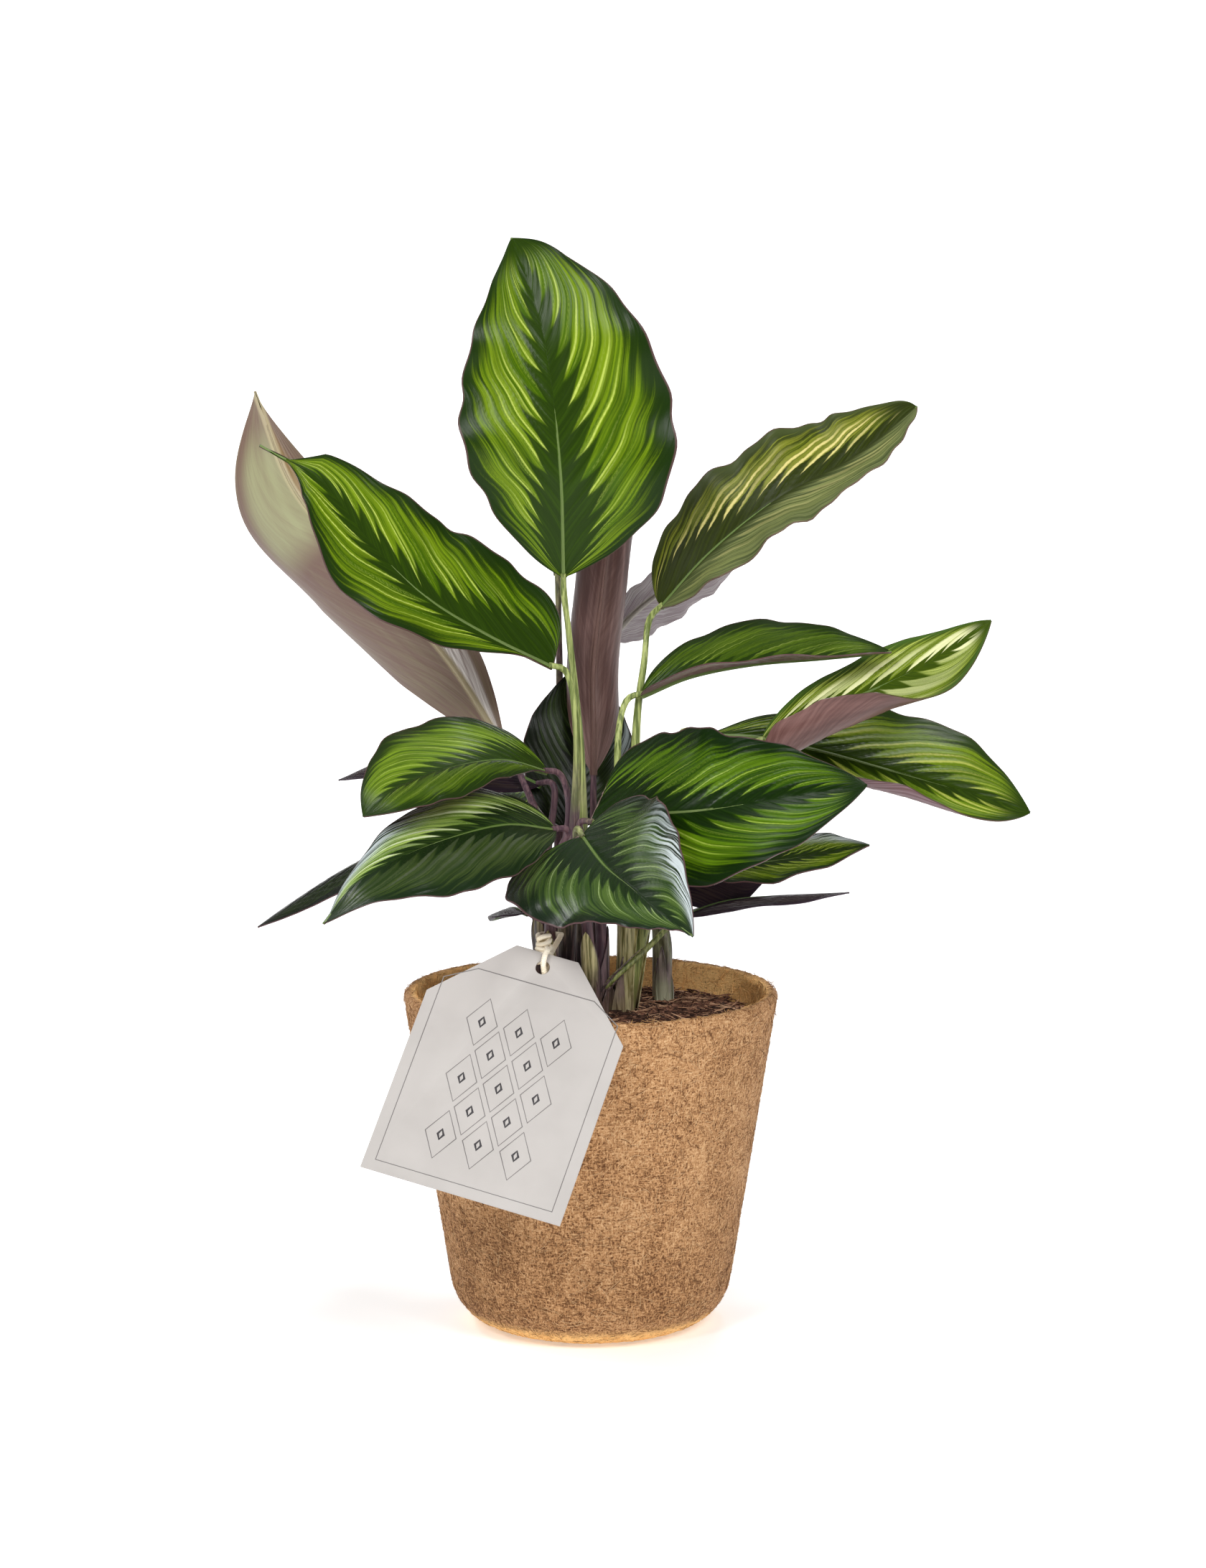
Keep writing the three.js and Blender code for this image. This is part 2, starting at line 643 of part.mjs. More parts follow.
// The twine is one closed loop: through the tag's hole, over its top edge and round the front left stem
function twineGeometry() {
  const frame = tagFrame();
  const inTag = (x, y, z) => new THREE.Vector3(x, y, z).applyMatrix4(frame.matrixWorld);
  const route = [
    inTag(0.9, -0.6, -2.6),
    inTag(0.3, 0, 0),
    inTag(0, 1.6, 2.2),
    inTag(-0.3, 4.6, 2.2),
    inTag(-0.6, 7.4, 0.2),
    vector([-17.5, -44, 150]),
    vector([-19.2, -17, 149]),
    vector([-18.6, -9.8, 148.5]),
    vector([-15, -8.3, 148.5]),
    vector([-11.4, -9.8, 148.5]),
    vector([-11.2, -17, 149]),
    vector([-14.5, -44, 147]),
  ];
  const curve = curveThrough(route, true);
  const frames = curve.computeFrenetFrames(TWINE.steps, true);
  const positions = [];
  const triangles = [];
  for (let i = 0; i < TWINE.steps; i += 1) {
    for (let k = 0; k < TWINE.sides; k += 1) {
      const angle = (2 * Math.PI * k) / TWINE.sides;
      const spot = curve.getPointAt(i / TWINE.steps)
        .addScaledVector(frames.normals[i], TWINE.radius * Math.cos(angle))
        .addScaledVector(frames.binormals[i], TWINE.radius * Math.sin(angle));
      positions.push(...spot.toArray());
      const next = (i + 1) % TWINE.steps;
      const [a, b] = [i * TWINE.sides + k, i * TWINE.sides + ((k + 1) % TWINE.sides)];
      const [c, d] = [next * TWINE.sides + ((k + 1) % TWINE.sides), next * TWINE.sides + k];
      triangles.push(a, b, c, a, c, d);
    }
  }
  return closedMesh(positions, triangles);
}

// Assembly

const plant = new THREE.Group();

function addPiece(name, geometry, colour, roughness) {
  geometry.computeVertexNormals();
  const material = new THREE.MeshStandardMaterial({ color: colour, roughness, metalness: 0 });
  const mesh = new THREE.Mesh(geometry, material);
  mesh.name = name;
  plant.add(mesh);
  return mesh;
}

addPiece("pot", potGeometry(), 0xb07c46, 0.95);
addPiece("soil", soilGeometry(), 0x3d2a20, 0.95);
for (const [name, shoot] of Object.entries(SHOOTS)) {
  addPiece(`shoot_${name}`, shootGeometry(name), shoot.colour, 0.5);
}
for (const leaf of LEAVES) addPiece(leaf.name, bladeGeometry(leaf), 0x4f7a25, 0.35);

const tag = addPiece("gift_tag", tagGeometry(), 0xeceae6, 0.8);
const frame = tagFrame();
tag.position.copy(frame.position);
tag.quaternion.copy(frame.quaternion);
addPiece("tag_twine", twineGeometry(), 0xe8d9b8, 0.9);

export default plant;
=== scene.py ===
"""Potted peacock calathea: a coir pot, its soil, leafy shoots and a gift tag on twine.

Lengths in the tables are millimetres in the frame of the solid model, with +Z up, the front towards -Y
and the origin under the middle of the pot.
"""

import logging
import math
from dataclasses import dataclass
from enum import Enum
from functools import cache
from typing import ClassVar

import bpy
import numpy as np
from mathutils import Matrix, Vector


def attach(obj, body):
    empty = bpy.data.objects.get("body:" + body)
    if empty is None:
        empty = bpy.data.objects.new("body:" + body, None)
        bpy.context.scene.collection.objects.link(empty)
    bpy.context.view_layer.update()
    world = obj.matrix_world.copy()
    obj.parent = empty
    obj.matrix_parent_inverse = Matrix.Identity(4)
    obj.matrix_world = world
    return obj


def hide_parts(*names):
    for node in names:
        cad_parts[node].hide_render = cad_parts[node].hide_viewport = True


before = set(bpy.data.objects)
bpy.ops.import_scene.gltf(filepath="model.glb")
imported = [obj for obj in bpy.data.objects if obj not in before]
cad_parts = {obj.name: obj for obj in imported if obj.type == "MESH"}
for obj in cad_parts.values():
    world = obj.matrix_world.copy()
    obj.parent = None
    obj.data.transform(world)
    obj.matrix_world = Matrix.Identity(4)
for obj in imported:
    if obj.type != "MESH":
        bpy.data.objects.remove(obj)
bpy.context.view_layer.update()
log = logging.getLogger("calathea")

MM = 0.001
Point = tuple[float, float, float]
Colour = tuple[float, float, float, float]


def paint(red: int, green: int, blue: int) -> Colour:
    """Linear colour of a swatch given in display values from 0 to 255."""
    channels = [value / 255 for value in (red, green, blue)]
    linear = [c / 12.92 if c <= 0.04045 else ((c + 0.055) / 1.055) ** 2.4 for c in channels]
    return (linear[0], linear[1], linear[2], 1.0)


# Shader expressions


class Wire:
    """A value in a material: one output socket that can be used in Python expressions."""

    def __init__(self, shader: "Shader", socket: bpy.types.NodeSocket) -> None:
        """Keeps the socket and the material that it belongs to."""
        self.shader = shader
        self.socket = socket

    def __add__(self, other: "Wire | float") -> "Wire":
        """Sum."""
        return self.shader.math("ADD", self, other)

    def __sub__(self, other: "Wire | float") -> "Wire":
        """Difference."""
        return self.shader.math("SUBTRACT", self, other)

    def __rsub__(self, other: float) -> "Wire":
        """Difference from a number."""
        return self.shader.math("SUBTRACT", other, self)

    def __mul__(self, other: "Wire | float") -> "Wire":
        """Product."""
        return self.shader.math("MULTIPLY", self, other)

    __radd__ = __add__
    __rmul__ = __mul__

    def size(self) -> "Wire":
        """Absolute value."""
        return self.shader.math("ABSOLUTE", self)

    def whole(self) -> "Wire":
        """Whole part, rounded down."""
        return self.shader.math("FLOOR", self)

    def least(self, other: "Wire | float") -> "Wire":
        """The smaller of two values."""
        return self.shader.math("MINIMUM", self, other)

    def most(self, other: "Wire | float") -> "Wire":
        """The larger of two values."""
        return self.shader.math("MAXIMUM", self, other)

    def rise(self, low: "Wire | float", high: "Wire | float") -> "Wire":
        """Smooth step from 0 at low to 1 at high."""
        settings = {"interpolation_type": "SMOOTHSTEP"}
        return self.shader.node("ShaderNodeMapRange", settings, {0: self, 1: low, 2: high})


class Shader:
    """A material under construction."""

    def __init__(self, name: str) -> None:
        """Starts an empty node tree with an output."""
        self.material = bpy.data.materials.new(name)
        self.material.use_nodes = True
        self.tree = self.material.node_tree
        self.tree.nodes.clear()
        self.end = self.tree.nodes.new("ShaderNodeOutputMaterial")

    def node(self, kind: str, settings: dict, sockets: dict, output: int = 0) -> Wire:
        """Adds a node.

        Args:
            kind: node type.
            settings: properties of the node, set first. The key "stops" fills a colour ramp.
            sockets: input values or wires by socket name or index.
            output: which output the wire carries.

        Returns:
            The wire of the chosen output.
        """
        made = self.tree.nodes.new(kind)
        for key, value in settings.items():
            if key == "stops":
                self._fill_ramp(made, value)
            else:
                setattr(made, key, value)
        for key, value in sockets.items():
            if isinstance(value, Wire):
                self.tree.links.new(value.socket, made.inputs[key])
            else:
                made.inputs[key].default_value = value
        return Wire(self, made.outputs[output])

    @staticmethod
    def _fill_ramp(made: bpy.types.Node, stops: tuple[tuple[float, Colour], ...]) -> None:
        """Puts a list of places and colours on a colour ramp."""
        elements = made.color_ramp.elements
        while len(elements) < len(stops):
            elements.new(0.5)
        for element, (place, colour) in zip(elements, stops):
            element.position = place
            element.color = colour

    def math(self, operation: str, *values: "Wire | float") -> Wire:
        """One Math node on wires and numbers."""
        return self.node("ShaderNodeMath", {"operation": operation}, dict(enumerate(values)))

    def mix(self, share: "Wire | float", first: "Wire | Colour", second: "Wire | Colour") -> Wire:
        """Colour between two colours."""
        return self.node("ShaderNodeMix", {"data_type": "RGBA"}, {0: share, 6: first, 7: second}, 2)

    def vector(self, x: "Wire | float", y: "Wire | float", z: "Wire | float" = 0.0) -> Wire:
        """Vector of three values."""
        return self.node("ShaderNodeCombineXYZ", {}, {0: x, 1: y, 2: z})

    def noise(self, place: Wire, scale: float, detail: float = 2.0, rough: float = 0.5) -> Wire:
        """Smooth random value around 0.5."""
        sockets = {"Vector": place, "Scale": scale, "Detail": detail, "Roughness": rough}
        return self.node("ShaderNodeTexNoise", {}, sockets)

    def draw(self, place: Wire) -> Wire:
        """Random value from 0 to 1 for each whole-numbered place."""
        return self.node("ShaderNodeTexWhiteNoise", {}, {"Vector": place})

    def trait(self, name: str) -> Wire:
        """A number that the mesh carries at each of its points."""
        return self.node("ShaderNodeAttribute", {"attribute_name": name}, {}, 2)

    def place(self) -> Wire:
        """Place in the object's own coordinates."""
        return self.node("ShaderNodeTexCoord", {}, {}, 3)

    def part(self, vector: Wire, axis: int) -> Wire:
        """One of the three numbers of a vector."""
        return self.node("ShaderNodeSeparateXYZ", {}, {0: vector}, axis)

    def stretch(self, place: Wire, scale: Point) -> Wire:
        """Places scaled by axis, for noises that run along one of them."""
        return self.node("ShaderNodeMapping", {}, {"Vector": place, "Scale": scale})

    def bump(self, height: Wire, strength: float, distance: float) -> Wire:
        """Normal of a surface with the given height on it."""
        sockets = {"Height": height, "Strength": strength, "Distance": distance}
        return self.node("ShaderNodeBump", {}, sockets)

    def finish(self, **sockets: "Wire | Colour | float") -> bpy.types.Material:
        """Ends the material in one Principled shader.

        Args:
            sockets: its inputs, with underscores for the spaces of their names.

        Returns:
            The finished material.
        """
        inputs = {key.replace("_", " "): value for key, value in sockets.items()}
        surface = self.node("ShaderNodeBsdfPrincipled", {}, inputs)
        self.tree.links.new(surface.socket, self.end.inputs["Surface"])
        return self.material


# Finishes


@dataclass(frozen=True)
class Feather:
    """How the side veins run and how the feather pattern follows them, the same for relief and colour."""

    bands: float = 13.0  # bands from base to tip on each side
    near: float = 0.34  # how fast a vein climbs along the blade close to the midrib
    far: float = 0.2  # and how much faster towards the margin
    offset: float = 0.5  # bands by which the right half runs ahead
    spread: float = 7.0  # bands by which blades of seed 0 and 1 differ

    def phase(self, t: np.ndarray, s: np.ndarray, seed: float) -> np.ndarray:
        """Band number at t along the blade and s across it, from -1 to 1."""
        across = np.abs(s)
        climb = across * self.near + across * across * self.far
        return (t - climb) * self.bands + np.where(s > 0, self.offset, 0.0) + seed * self.spread

    def wire(self, along: Wire, across: Wire, side: Wire, seed: Wire) -> Wire:
        """The same band number in a material."""
        climb = across * self.near + across * across * self.far
        return (along - climb) * self.bands + side * self.offset + seed * self.spread


FEATHER = Feather()
SHEEN_SILVER = paint(204, 214, 216)  # streaks that stand for sheen by a margin
PAINTED_GLOSS_WHITE = paint(255, 250, 246)  # painted highlight: white patch by the base of a rolled blade
SATIN = 0.45  # specular level of stalks and undersides


@dataclass(frozen=True)
class BladeFinish:
    """Both faces of a patterned blade."""

    name: str
    dark: Colour = paint(34, 54, 6)
    green: Colour = paint(62, 92, 4)
    lime: Colour = paint(114, 140, 20)
    cream: Colour = paint(196, 212, 100)
    margin: Colour = paint(26, 46, 10)
    rib: Colour = paint(92, 132, 40)
    under: Colour = paint(112, 78, 84)
    under_pale: Colour = paint(150, 138, 118)
    feather: float = 1.0  # strength of the lime bands
    stripe: float = 0.85  # strength of the cream stripes
    rough: float = 0.24  # roughness of the upper face
    polish: float = 0.11  # strength of its reflections
    core: float = 0.07  # half-width of the dark stripe along the midrib, as a share of the blade's
    dull: float = 0.0  # how grey the right half is
    broad: float = 0.1  # half-width of the cream stripes, as a share of a band
    pale_from: float = 1.2  # share along the blade from which the underside is pale
    seam: Colour = paint(138, 112, 60)  # olive band beside the midrib underneath
    seam_share: float = 0.0  # its strength
    shade: float = 0.0  # painted shade: how much darker the left half is
    painted_sheen: tuple[float, float] = (0.0, 0.0)  # strength of the painted sheen, silvery streaks by the left and right margins
    mottle: float = 1.0  # strength of the paler streaks underneath
    painted_gloss: float = 0.0  # strength of the painted highlight, a white patch by the base underneath
    furled: float = 0.0  # how far lengthwise streaks replace the veins underneath

    def layout(self, shader: Shader) -> dict[str, Wire]:
        """Coordinates that both faces share.

        Args:
            shader: the material under construction.

        Returns:
            "along" from base to tip, "across" from midrib to margin, "side" (0 left, 1 right), "seed", the
            band number "phase", "reach" from the midrib in millimetres, and "key", which sets noises apart.
        """
        uv = shader.node("ShaderNodeTexCoord", {}, {}, 2)
        u = shader.part(uv, 0)
        along = shader.part(uv, 1)
        seed = shader.trait("seed")
        across = (u * 2.0 - 1.0).size()
        side = u.rise(0.499, 0.501)
        plain = FEATHER.wire(along, across, side, seed)
        sway = shader.noise(shader.vector(plain * 0.7, across * 2.0, seed * 31.0 + side * 3.0), 1.0, 1.0)
        phase = plain + (sway - 0.5) * 0.35
        return {"along": along, "across": across, "side": side, "seed": seed, "phase": phase,
                "reach": shader.trait("reach"), "key": seed * 13.0 + side * 5.0}

    def bands(self, shader: Shader, at: dict[str, Wire]) -> dict[str, Wire]:
        """Works out where the lime bands of the upper face run.

        Args:
            shader: the material under construction.
            at: the coordinates from layout.

        Returns:
            The mask "band", the inner end "start" of each band, and the values that the colours follow too:
            "inside" and "spike" across a band, "chance" and "second" for each band, and "streak".
        """
        along, across, phase = at["along"], at["across"], at["phase"]
        cell = phase.whole()
        inside = phase - cell
        chance = shader.draw(shader.vector(cell, at["side"], at["seed"]))
        second = shader.draw(shader.vector(cell, at["side"] + 3.0, at["seed"]))
        spike = (inside * 2.0 - 1.0).size()
        streak = shader.noise(shader.vector(phase * 4.5, across * 1.7, at["key"]), 1.0, 4.0, 0.62)
        start = self.core + 0.05 * chance + spike * (0.18 + 0.14 * second) * (1.3 - along * 0.7)
        start = start + (1.0 - along.rise(0.02, 0.42)) * 0.32 + (streak - 0.5) * 0.16
        stop = 0.84 - spike * 0.14 + (streak - 0.5) * 0.34 + (chance - 0.5) * 0.1
        band = across.rise(start - 0.02, start + 0.05) * (1.0 - across.rise(stop - 0.1, stop + 0.1))
        band = band * (1.0 - along.rise(0.86, 0.97)) * self.feather
        return {"band": band, "start": start, "inside": inside, "chance": chance, "second": second,
                "spike": spike, "streak": streak}

    def fill(self, shader: Shader, at: dict[str, Wire], bands: dict[str, Wire]) -> Wire:
        """Colour of the bands: green to lime, with dark gaps between them and cream stripes in them."""
        across, phase = at["across"], at["phase"]
        start, chance, second, spike = (bands[key] for key in ("start", "chance", "second", "spike"))
        cloud = shader.noise(shader.vector(phase * 0.9, across * 3.0, at["key"] + 4.0), 1.0, 2.0)
        gap = spike.rise(0.62, 0.98) * (0.1 + second * 0.5) * across.rise(0.15, 0.5)
        share = (bands["streak"] + (chance - 0.5) * 0.2).rise(0.36, 0.66)
        colour = shader.mix(share, self.green, self.lime)
        colour = shader.mix(gap.most((1.0 - cloud.rise(0.25, 0.55)) * 0.4), colour, self.dark)
        line = (bands["inside"] - 0.5 + (second - 0.5) * 0.5).size()
        fade = across.rise(start - 0.02, start + 0.03) * (1.0 - across.rise(0.3 + chance * 0.2, 0.75))
        stripe = (1.0 - line.rise(self.broad * 0.3, self.broad)) * fade * chance.rise(0.1, 0.6)
        hair = shader.noise(shader.vector(phase * 3.1, across * 0.5, at["key"] + 9.0), 1.0, 2.0)
        hair = hair.rise(0.6, 0.74)
        return shader.mix(stripe.most(hair * fade * 0.5) * self.stripe, colour, self.cream)

    @cache
    def upper(self) -> bpy.types.Material:
        """Glossy face with lime feather bands and cream stripes on dark green."""
        shader = Shader(f"{self.name}_upper")
        at = self.layout(shader)
        along, across, side = at["along"], at["across"], at["side"]
        bands = self.bands(shader, at)
        spike, streak = bands["spike"], bands["streak"]
        field_tone = shader.mix(streak.rise(0.4, 0.8) * 0.4, self.dark, self.green)
        field_tone = shader.mix(across.rise(0.72, 0.98), field_tone, self.margin)
        colour = shader.mix(bands["band"], field_tone, self.fill(shader, at, bands))
        vein = spike.rise(0.5, 0.95) * (1.0 - across.rise(0.3, 0.8))
        grey = shader.mix(streak.rise(0.34, 0.6) * (1.0 - vein), self.margin, self.under_pale)
        colour = shader.mix(side * self.dull * across.rise(0.0, 0.25), colour, grey)
        # painted shade: the left half darkened towards the dark tone
        colour = shader.mix((1.0 - side) * self.shade, colour, self.dark)
        # painted sheen: silvery streaks by the margins stand for reflections
        if any(self.painted_sheen):
            bright = side * self.painted_sheen[1] + (1.0 - side) * self.painted_sheen[0]
            bright = bright * across.rise(0.4, 0.8) * (1.0 - across.rise(0.95, 1.0)) * along.rise(0.3, 0.7)
            colour = shader.mix(bright * streak.rise(0.42, 0.56), colour, SHEEN_SILVER)
        rib = (1.0 - at["reach"].rise(0.3, 0.8)) * (1.0 - along.rise(0.15, 0.5))
        colour = shader.mix(rib * 0.75, colour, self.rib)
        colour = shader.mix(across.rise(0.975, 0.995) * 0.6, colour, self.under)
        height = streak * 0.5 + (1.0 - spike) * 0.5
        rough = (streak - 0.5) * 0.12 + self.rough + side * (self.dull * 0.3)
        return shader.finish(Base_Color=colour, Roughness=rough, Specular_IOR_Level=self.polish,
                             Normal=shader.bump(height, 0.4, 0.0005))

    @cache
    def lower(self) -> bpy.types.Material:
        """Satin mauve face on which the veins stand out and the bands show through faintly."""
        shader = Shader(f"{self.name}_lower")
        at = self.layout(shader)
        along, across, side, phase = at["along"], at["across"], at["side"], at["phase"]
        streak = shader.noise(shader.vector(phase * 4.0, across * 1.5, at["key"]), 1.0, 4.0, 0.6)
        spike = ((phase - phase.whole()) * 2.0 - 1.0).size()
        blot = shader.noise(shader.vector(along * 2.5, across, at["key"] + 2.0), 1.0, 2.0)
        if self.furled:
            length = shader.noise(shader.vector(across * 7.0, along * 1.6, at["key"]), 1.0, 4.0, 0.65)
            streak = streak * (1.0 - self.furled) + length * self.furled
            spike = spike * (1.0 - self.furled)
        share = (streak * 1.3 + blot * 0.6 - 0.55 - spike * 0.06).rise(0.2, 0.75) * self.mottle
        pale = along.rise(self.pale_from, self.pale_from + 0.1) * (1.0 - across.rise(0.6, 0.95))
        pale = pale * side * (1.0 - along.rise(0.82, 0.98))
        share = share.most(pale * (0.2 + streak * 1.3))
        colour = shader.mix(share, self.under, self.under_pale)
        seam = (1.0 - across.rise(0.15, 0.5)) * (1.0 - side) * along.rise(0.3, 0.5)
        colour = shader.mix(seam * self.seam_share, colour, self.seam)
        # painted highlight: a streaky white patch by the base underneath
        if self.painted_gloss:
            white = (1.0 - side) * (1.0 - along.rise(0.26, 0.42)) * (1.0 - across.rise(0.3, 0.65))
            colour = shader.mix(white * streak.rise(0.3, 0.6) * self.painted_gloss, colour, PAINTED_GLOSS_WHITE)
        rib = (1.0 - at["reach"].rise(0.8, 1.8)) * 0.7
        colour = shader.mix(rib, colour, self.rib)
        height = streak * 0.6 + spike * 0.25
        return shader.finish(Base_Color=colour, Roughness=0.42 + (streak - 0.5) * 0.2,
                             Specular_IOR_Level=SATIN, Normal=shader.bump(height, 0.6, 0.0006))


class Look(Enum):
    """The kinds of blade on this plant."""

    FRESH = BladeFinish("blade_fresh", shade=0.1)
    RICH = BladeFinish("blade_rich", dark=paint(16, 36, 4), green=paint(42, 72, 6),
                       lime=paint(88, 122, 14), cream=paint(156, 180, 70), margin=paint(18, 38, 10),
                       polish=0.1)
    BRIGHT = BladeFinish("blade_bright", dark=paint(38, 56, 10), green=paint(78, 106, 16),
                         lime=paint(120, 146, 26), cream=paint(196, 200, 100), margin=paint(44, 64, 20),
                         broad=0.2, polish=0.05, under=paint(104, 74, 76),
                         under_pale=paint(142, 116, 124), stripe=0.75, core=0.05)
    CREAM = BladeFinish("blade_cream", dark=paint(56, 76, 14), green=paint(108, 130, 22),
                        lime=paint(180, 194, 92), cream=paint(236, 238, 182), margin=paint(70, 100, 40),
                        broad=0.8, under=paint(84, 52, 48), under_pale=paint(128, 92, 86), stripe=1.0,
                        core=0.02, furled=0.5)
    OLIVE = BladeFinish("blade_olive", dark=paint(38, 46, 8), green=paint(72, 86, 14),
                        lime=paint(124, 130, 42), cream=paint(214, 202, 128), margin=paint(66, 76, 40),
                        under_pale=paint(116, 124, 78), stripe=1.0, dull=0.8, core=0.12, broad=0.26,
                        rough=0.34, polish=0.08)
    DEEP = BladeFinish("blade_deep", dark=paint(34, 54, 10), green=paint(70, 98, 16),
                       lime=paint(112, 140, 32), cream=paint(160, 180, 80), margin=paint(30, 46, 14),
                       core=0.0, polish=0.12, shade=0.45)
    SLATE = BladeFinish("blade_slate", dark=paint(26, 42, 20), green=paint(48, 72, 28),
                        lime=paint(84, 110, 44), cream=paint(160, 182, 116), margin=paint(22, 36, 20),
                        feather=0.8, core=0.03, polish=0.24, painted_sheen=(1.0, 0.0))
    SHEEN = BladeFinish("blade_sheen", painted_sheen=(0.8, 0.0), polish=0.1)
    # painted shade on the left half and painted sheen by the right margin
    SILVER = BladeFinish("blade_sheen_and_shade", dark=paint(22, 40, 14), green=paint(98, 128, 46),
                         lime=paint(172, 198, 100), cream=paint(220, 230, 188), margin=paint(20, 36, 16),
                         broad=0.26, core=0.04, polish=0.24, shade=0.9, painted_sheen=(0.0, 0.8))
    SHADED = BladeFinish("blade_shaded", dark=paint(20, 24, 16), green=paint(32, 42, 18),
                         lime=paint(50, 68, 24), cream=paint(90, 106, 70), margin=paint(24, 30, 20),
                         feather=0.6, stripe=0.4, polish=0.1, painted_sheen=(0.0, 0.5))
    DUSK = BladeFinish("blade_dusk", dark=paint(34, 22, 32), green=paint(46, 34, 38),
                       lime=paint(66, 54, 44), cream=paint(92, 82, 66), margin=paint(40, 28, 38),
                       under=paint(60, 40, 56), under_pale=paint(84, 64, 68), feather=0.5, stripe=0.3,
                       polish=0.1)
    PALE_ROLL = BladeFinish("blade_pale_roll", under=paint(112, 86, 76), under_pale=paint(156, 156, 118),
                            rib=paint(182, 170, 134), pale_from=0.6, seam_share=0.8, furled=0.5,
                            painted_gloss=1.0, mottle=0.4)
    MAUVE_ROLL = BladeFinish("blade_mauve_roll", under=paint(72, 46, 42), under_pale=paint(134, 104, 98),
                             rib=paint(104, 76, 68), furled=0.8)
    LILAC = BladeFinish("blade_lilac", under=paint(138, 122, 128), under_pale=paint(206, 200, 202),
                        rib=paint(190, 184, 170))


@dataclass(frozen=True)
class StalkFinish:
    """Satin stalk or sheath, mauve where its tone is low and pale green where it is high."""

    name: str
    pale: Colour
    deep: Colour
    mauve: Colour
    mauve_deep: Colour
    foot: Colour

    @cache
    def material(self) -> bpy.types.Material:
        """Fine streaks along the stalk, mauve where its tone is low and dull near the soil."""
        shader = Shader(self.name)
        place = shader.place()
        height = shader.part(place, 2)
        streak = shader.noise(shader.stretch(place, (900.0, 900.0, 45.0)), 1.0, 4.0, 0.6)
        blot = shader.noise(place, 90.0, 3.0)
        tone = shader.trait("tone") + (blot - 0.5) * 0.5
        green = shader.mix(streak.rise(0.38, 0.62), self.deep, self.pale)
        mauve = shader.mix(streak.rise(0.38, 0.66), self.mauve_deep, self.mauve)
        colour = shader.mix(tone.rise(0.3, 0.7), mauve, green)
        low = (1.0 - height.rise(0.117, 0.135)) * (0.25 + blot)
        colour = shader.mix(low.least(1.0), colour, self.foot)
        rough = 0.34 + streak * 0.2
        return shader.finish(Base_Color=colour, Roughness=rough, Specular_IOR_Level=SATIN,
                             Normal=shader.bump(streak, 0.6, 0.0006))


@dataclass(frozen=True)
class GrainFinish:
    """Matt fibrous or crumbly stuff: three tones mixed by fine and coarse grain."""

    name: str
    dark: Colour
    middle: Colour
    light: Colour
    fine: float = 1500.0  # grains per metre
    coarse: float = 120.0
    depth: float = 0.0006  # in metres, as Blender's bump takes it
    fibre: bool = False  # the tone comes from each strand's own shade
    felt: float = 0.0  # strength of the short crossing fibres pressed into the face
    painted_foot_shade: float = 0.0  # painted shade: how much darker it is near the ground
    inner: Colour = paint(255, 206, 136)  # painted light: its tone on faces with the trait "inner", where the wall lies in shade

    @cache
    def material(self) -> bpy.types.Material:
        """Speckled matt surface with a bump of the same grain."""
        shader = Shader(self.name)
        place = shader.place()
        fine = shader.noise(place, self.fine, 3.0, 0.65)
        coarse = shader.noise(place, self.coarse, 3.0, 0.6)
        tone = (fine - 0.5) * 1.1 + coarse * 0.45 + 0.28
        height = fine
        if self.felt:
            upright = shader.noise(shader.stretch(place, (1700.0, 1700.0, 420.0)), 1.0, 2.0)
            level = shader.noise(shader.stretch(place, (420.0, 420.0, 1700.0)), 1.0, 2.0)
            mat = upright.most(level)
            tone = tone + (mat - 0.56) * self.felt
            height = fine * 0.5 + mat
        if self.fibre:
            tone = shader.trait("shade") * 0.8 + (fine - 0.5) * 0.3 + 0.1
        # painted shade: darker towards the ground
        if self.painted_foot_shade:
            tone = tone - (1.0 - shader.part(place, 2).rise(0.0, 0.085)) * self.painted_foot_shade
        stops = ((0.22, self.dark), (0.5, self.middle), (0.8, self.light))
        colour = shader.node("ShaderNodeValToRGB", {"stops": stops}, {0: tone})
        # painted light: the inner face of the wall, which lies in shade, turns lighter
        colour = shader.mix(shader.trait("inner") * tone.rise(-0.2, 0.6), colour, self.inner)
        rough = 0.88 + (fine - 0.5) * 0.1
        return shader.finish(Base_Color=colour, Roughness=rough, Specular_IOR_Level=0.25,
                             Normal=shader.bump(height, 0.8, self.depth))


@dataclass(frozen=True)
class PlainFinish:
    """Even matt stuff with a faint mottle, such as card or ink."""

    name: str
    colour: Colour
    mottle: Colour
    rough: float = 0.8
    grain: float = 2500.0  # grains per metre
    depth: float = 0.00004  # in metres, as Blender's bump takes it

    @cache
    def material(self) -> bpy.types.Material:
        """Nearly even colour with a fine tooth."""
        shader = Shader(self.name)
        place = shader.place()
        tooth = shader.noise(place, self.grain, 3.0, 0.6)
        cloud = shader.noise(place, 60.0, 3.0)
        colour = shader.mix(cloud.rise(0.3, 0.75), self.colour, self.mottle)
        rough = self.rough + (tooth - 0.5) * 0.1
        return shader.finish(Base_Color=colour, Roughness=rough, Specular_IOR_Level=0.3,
                             Normal=shader.bump(tooth, 0.5, self.depth))


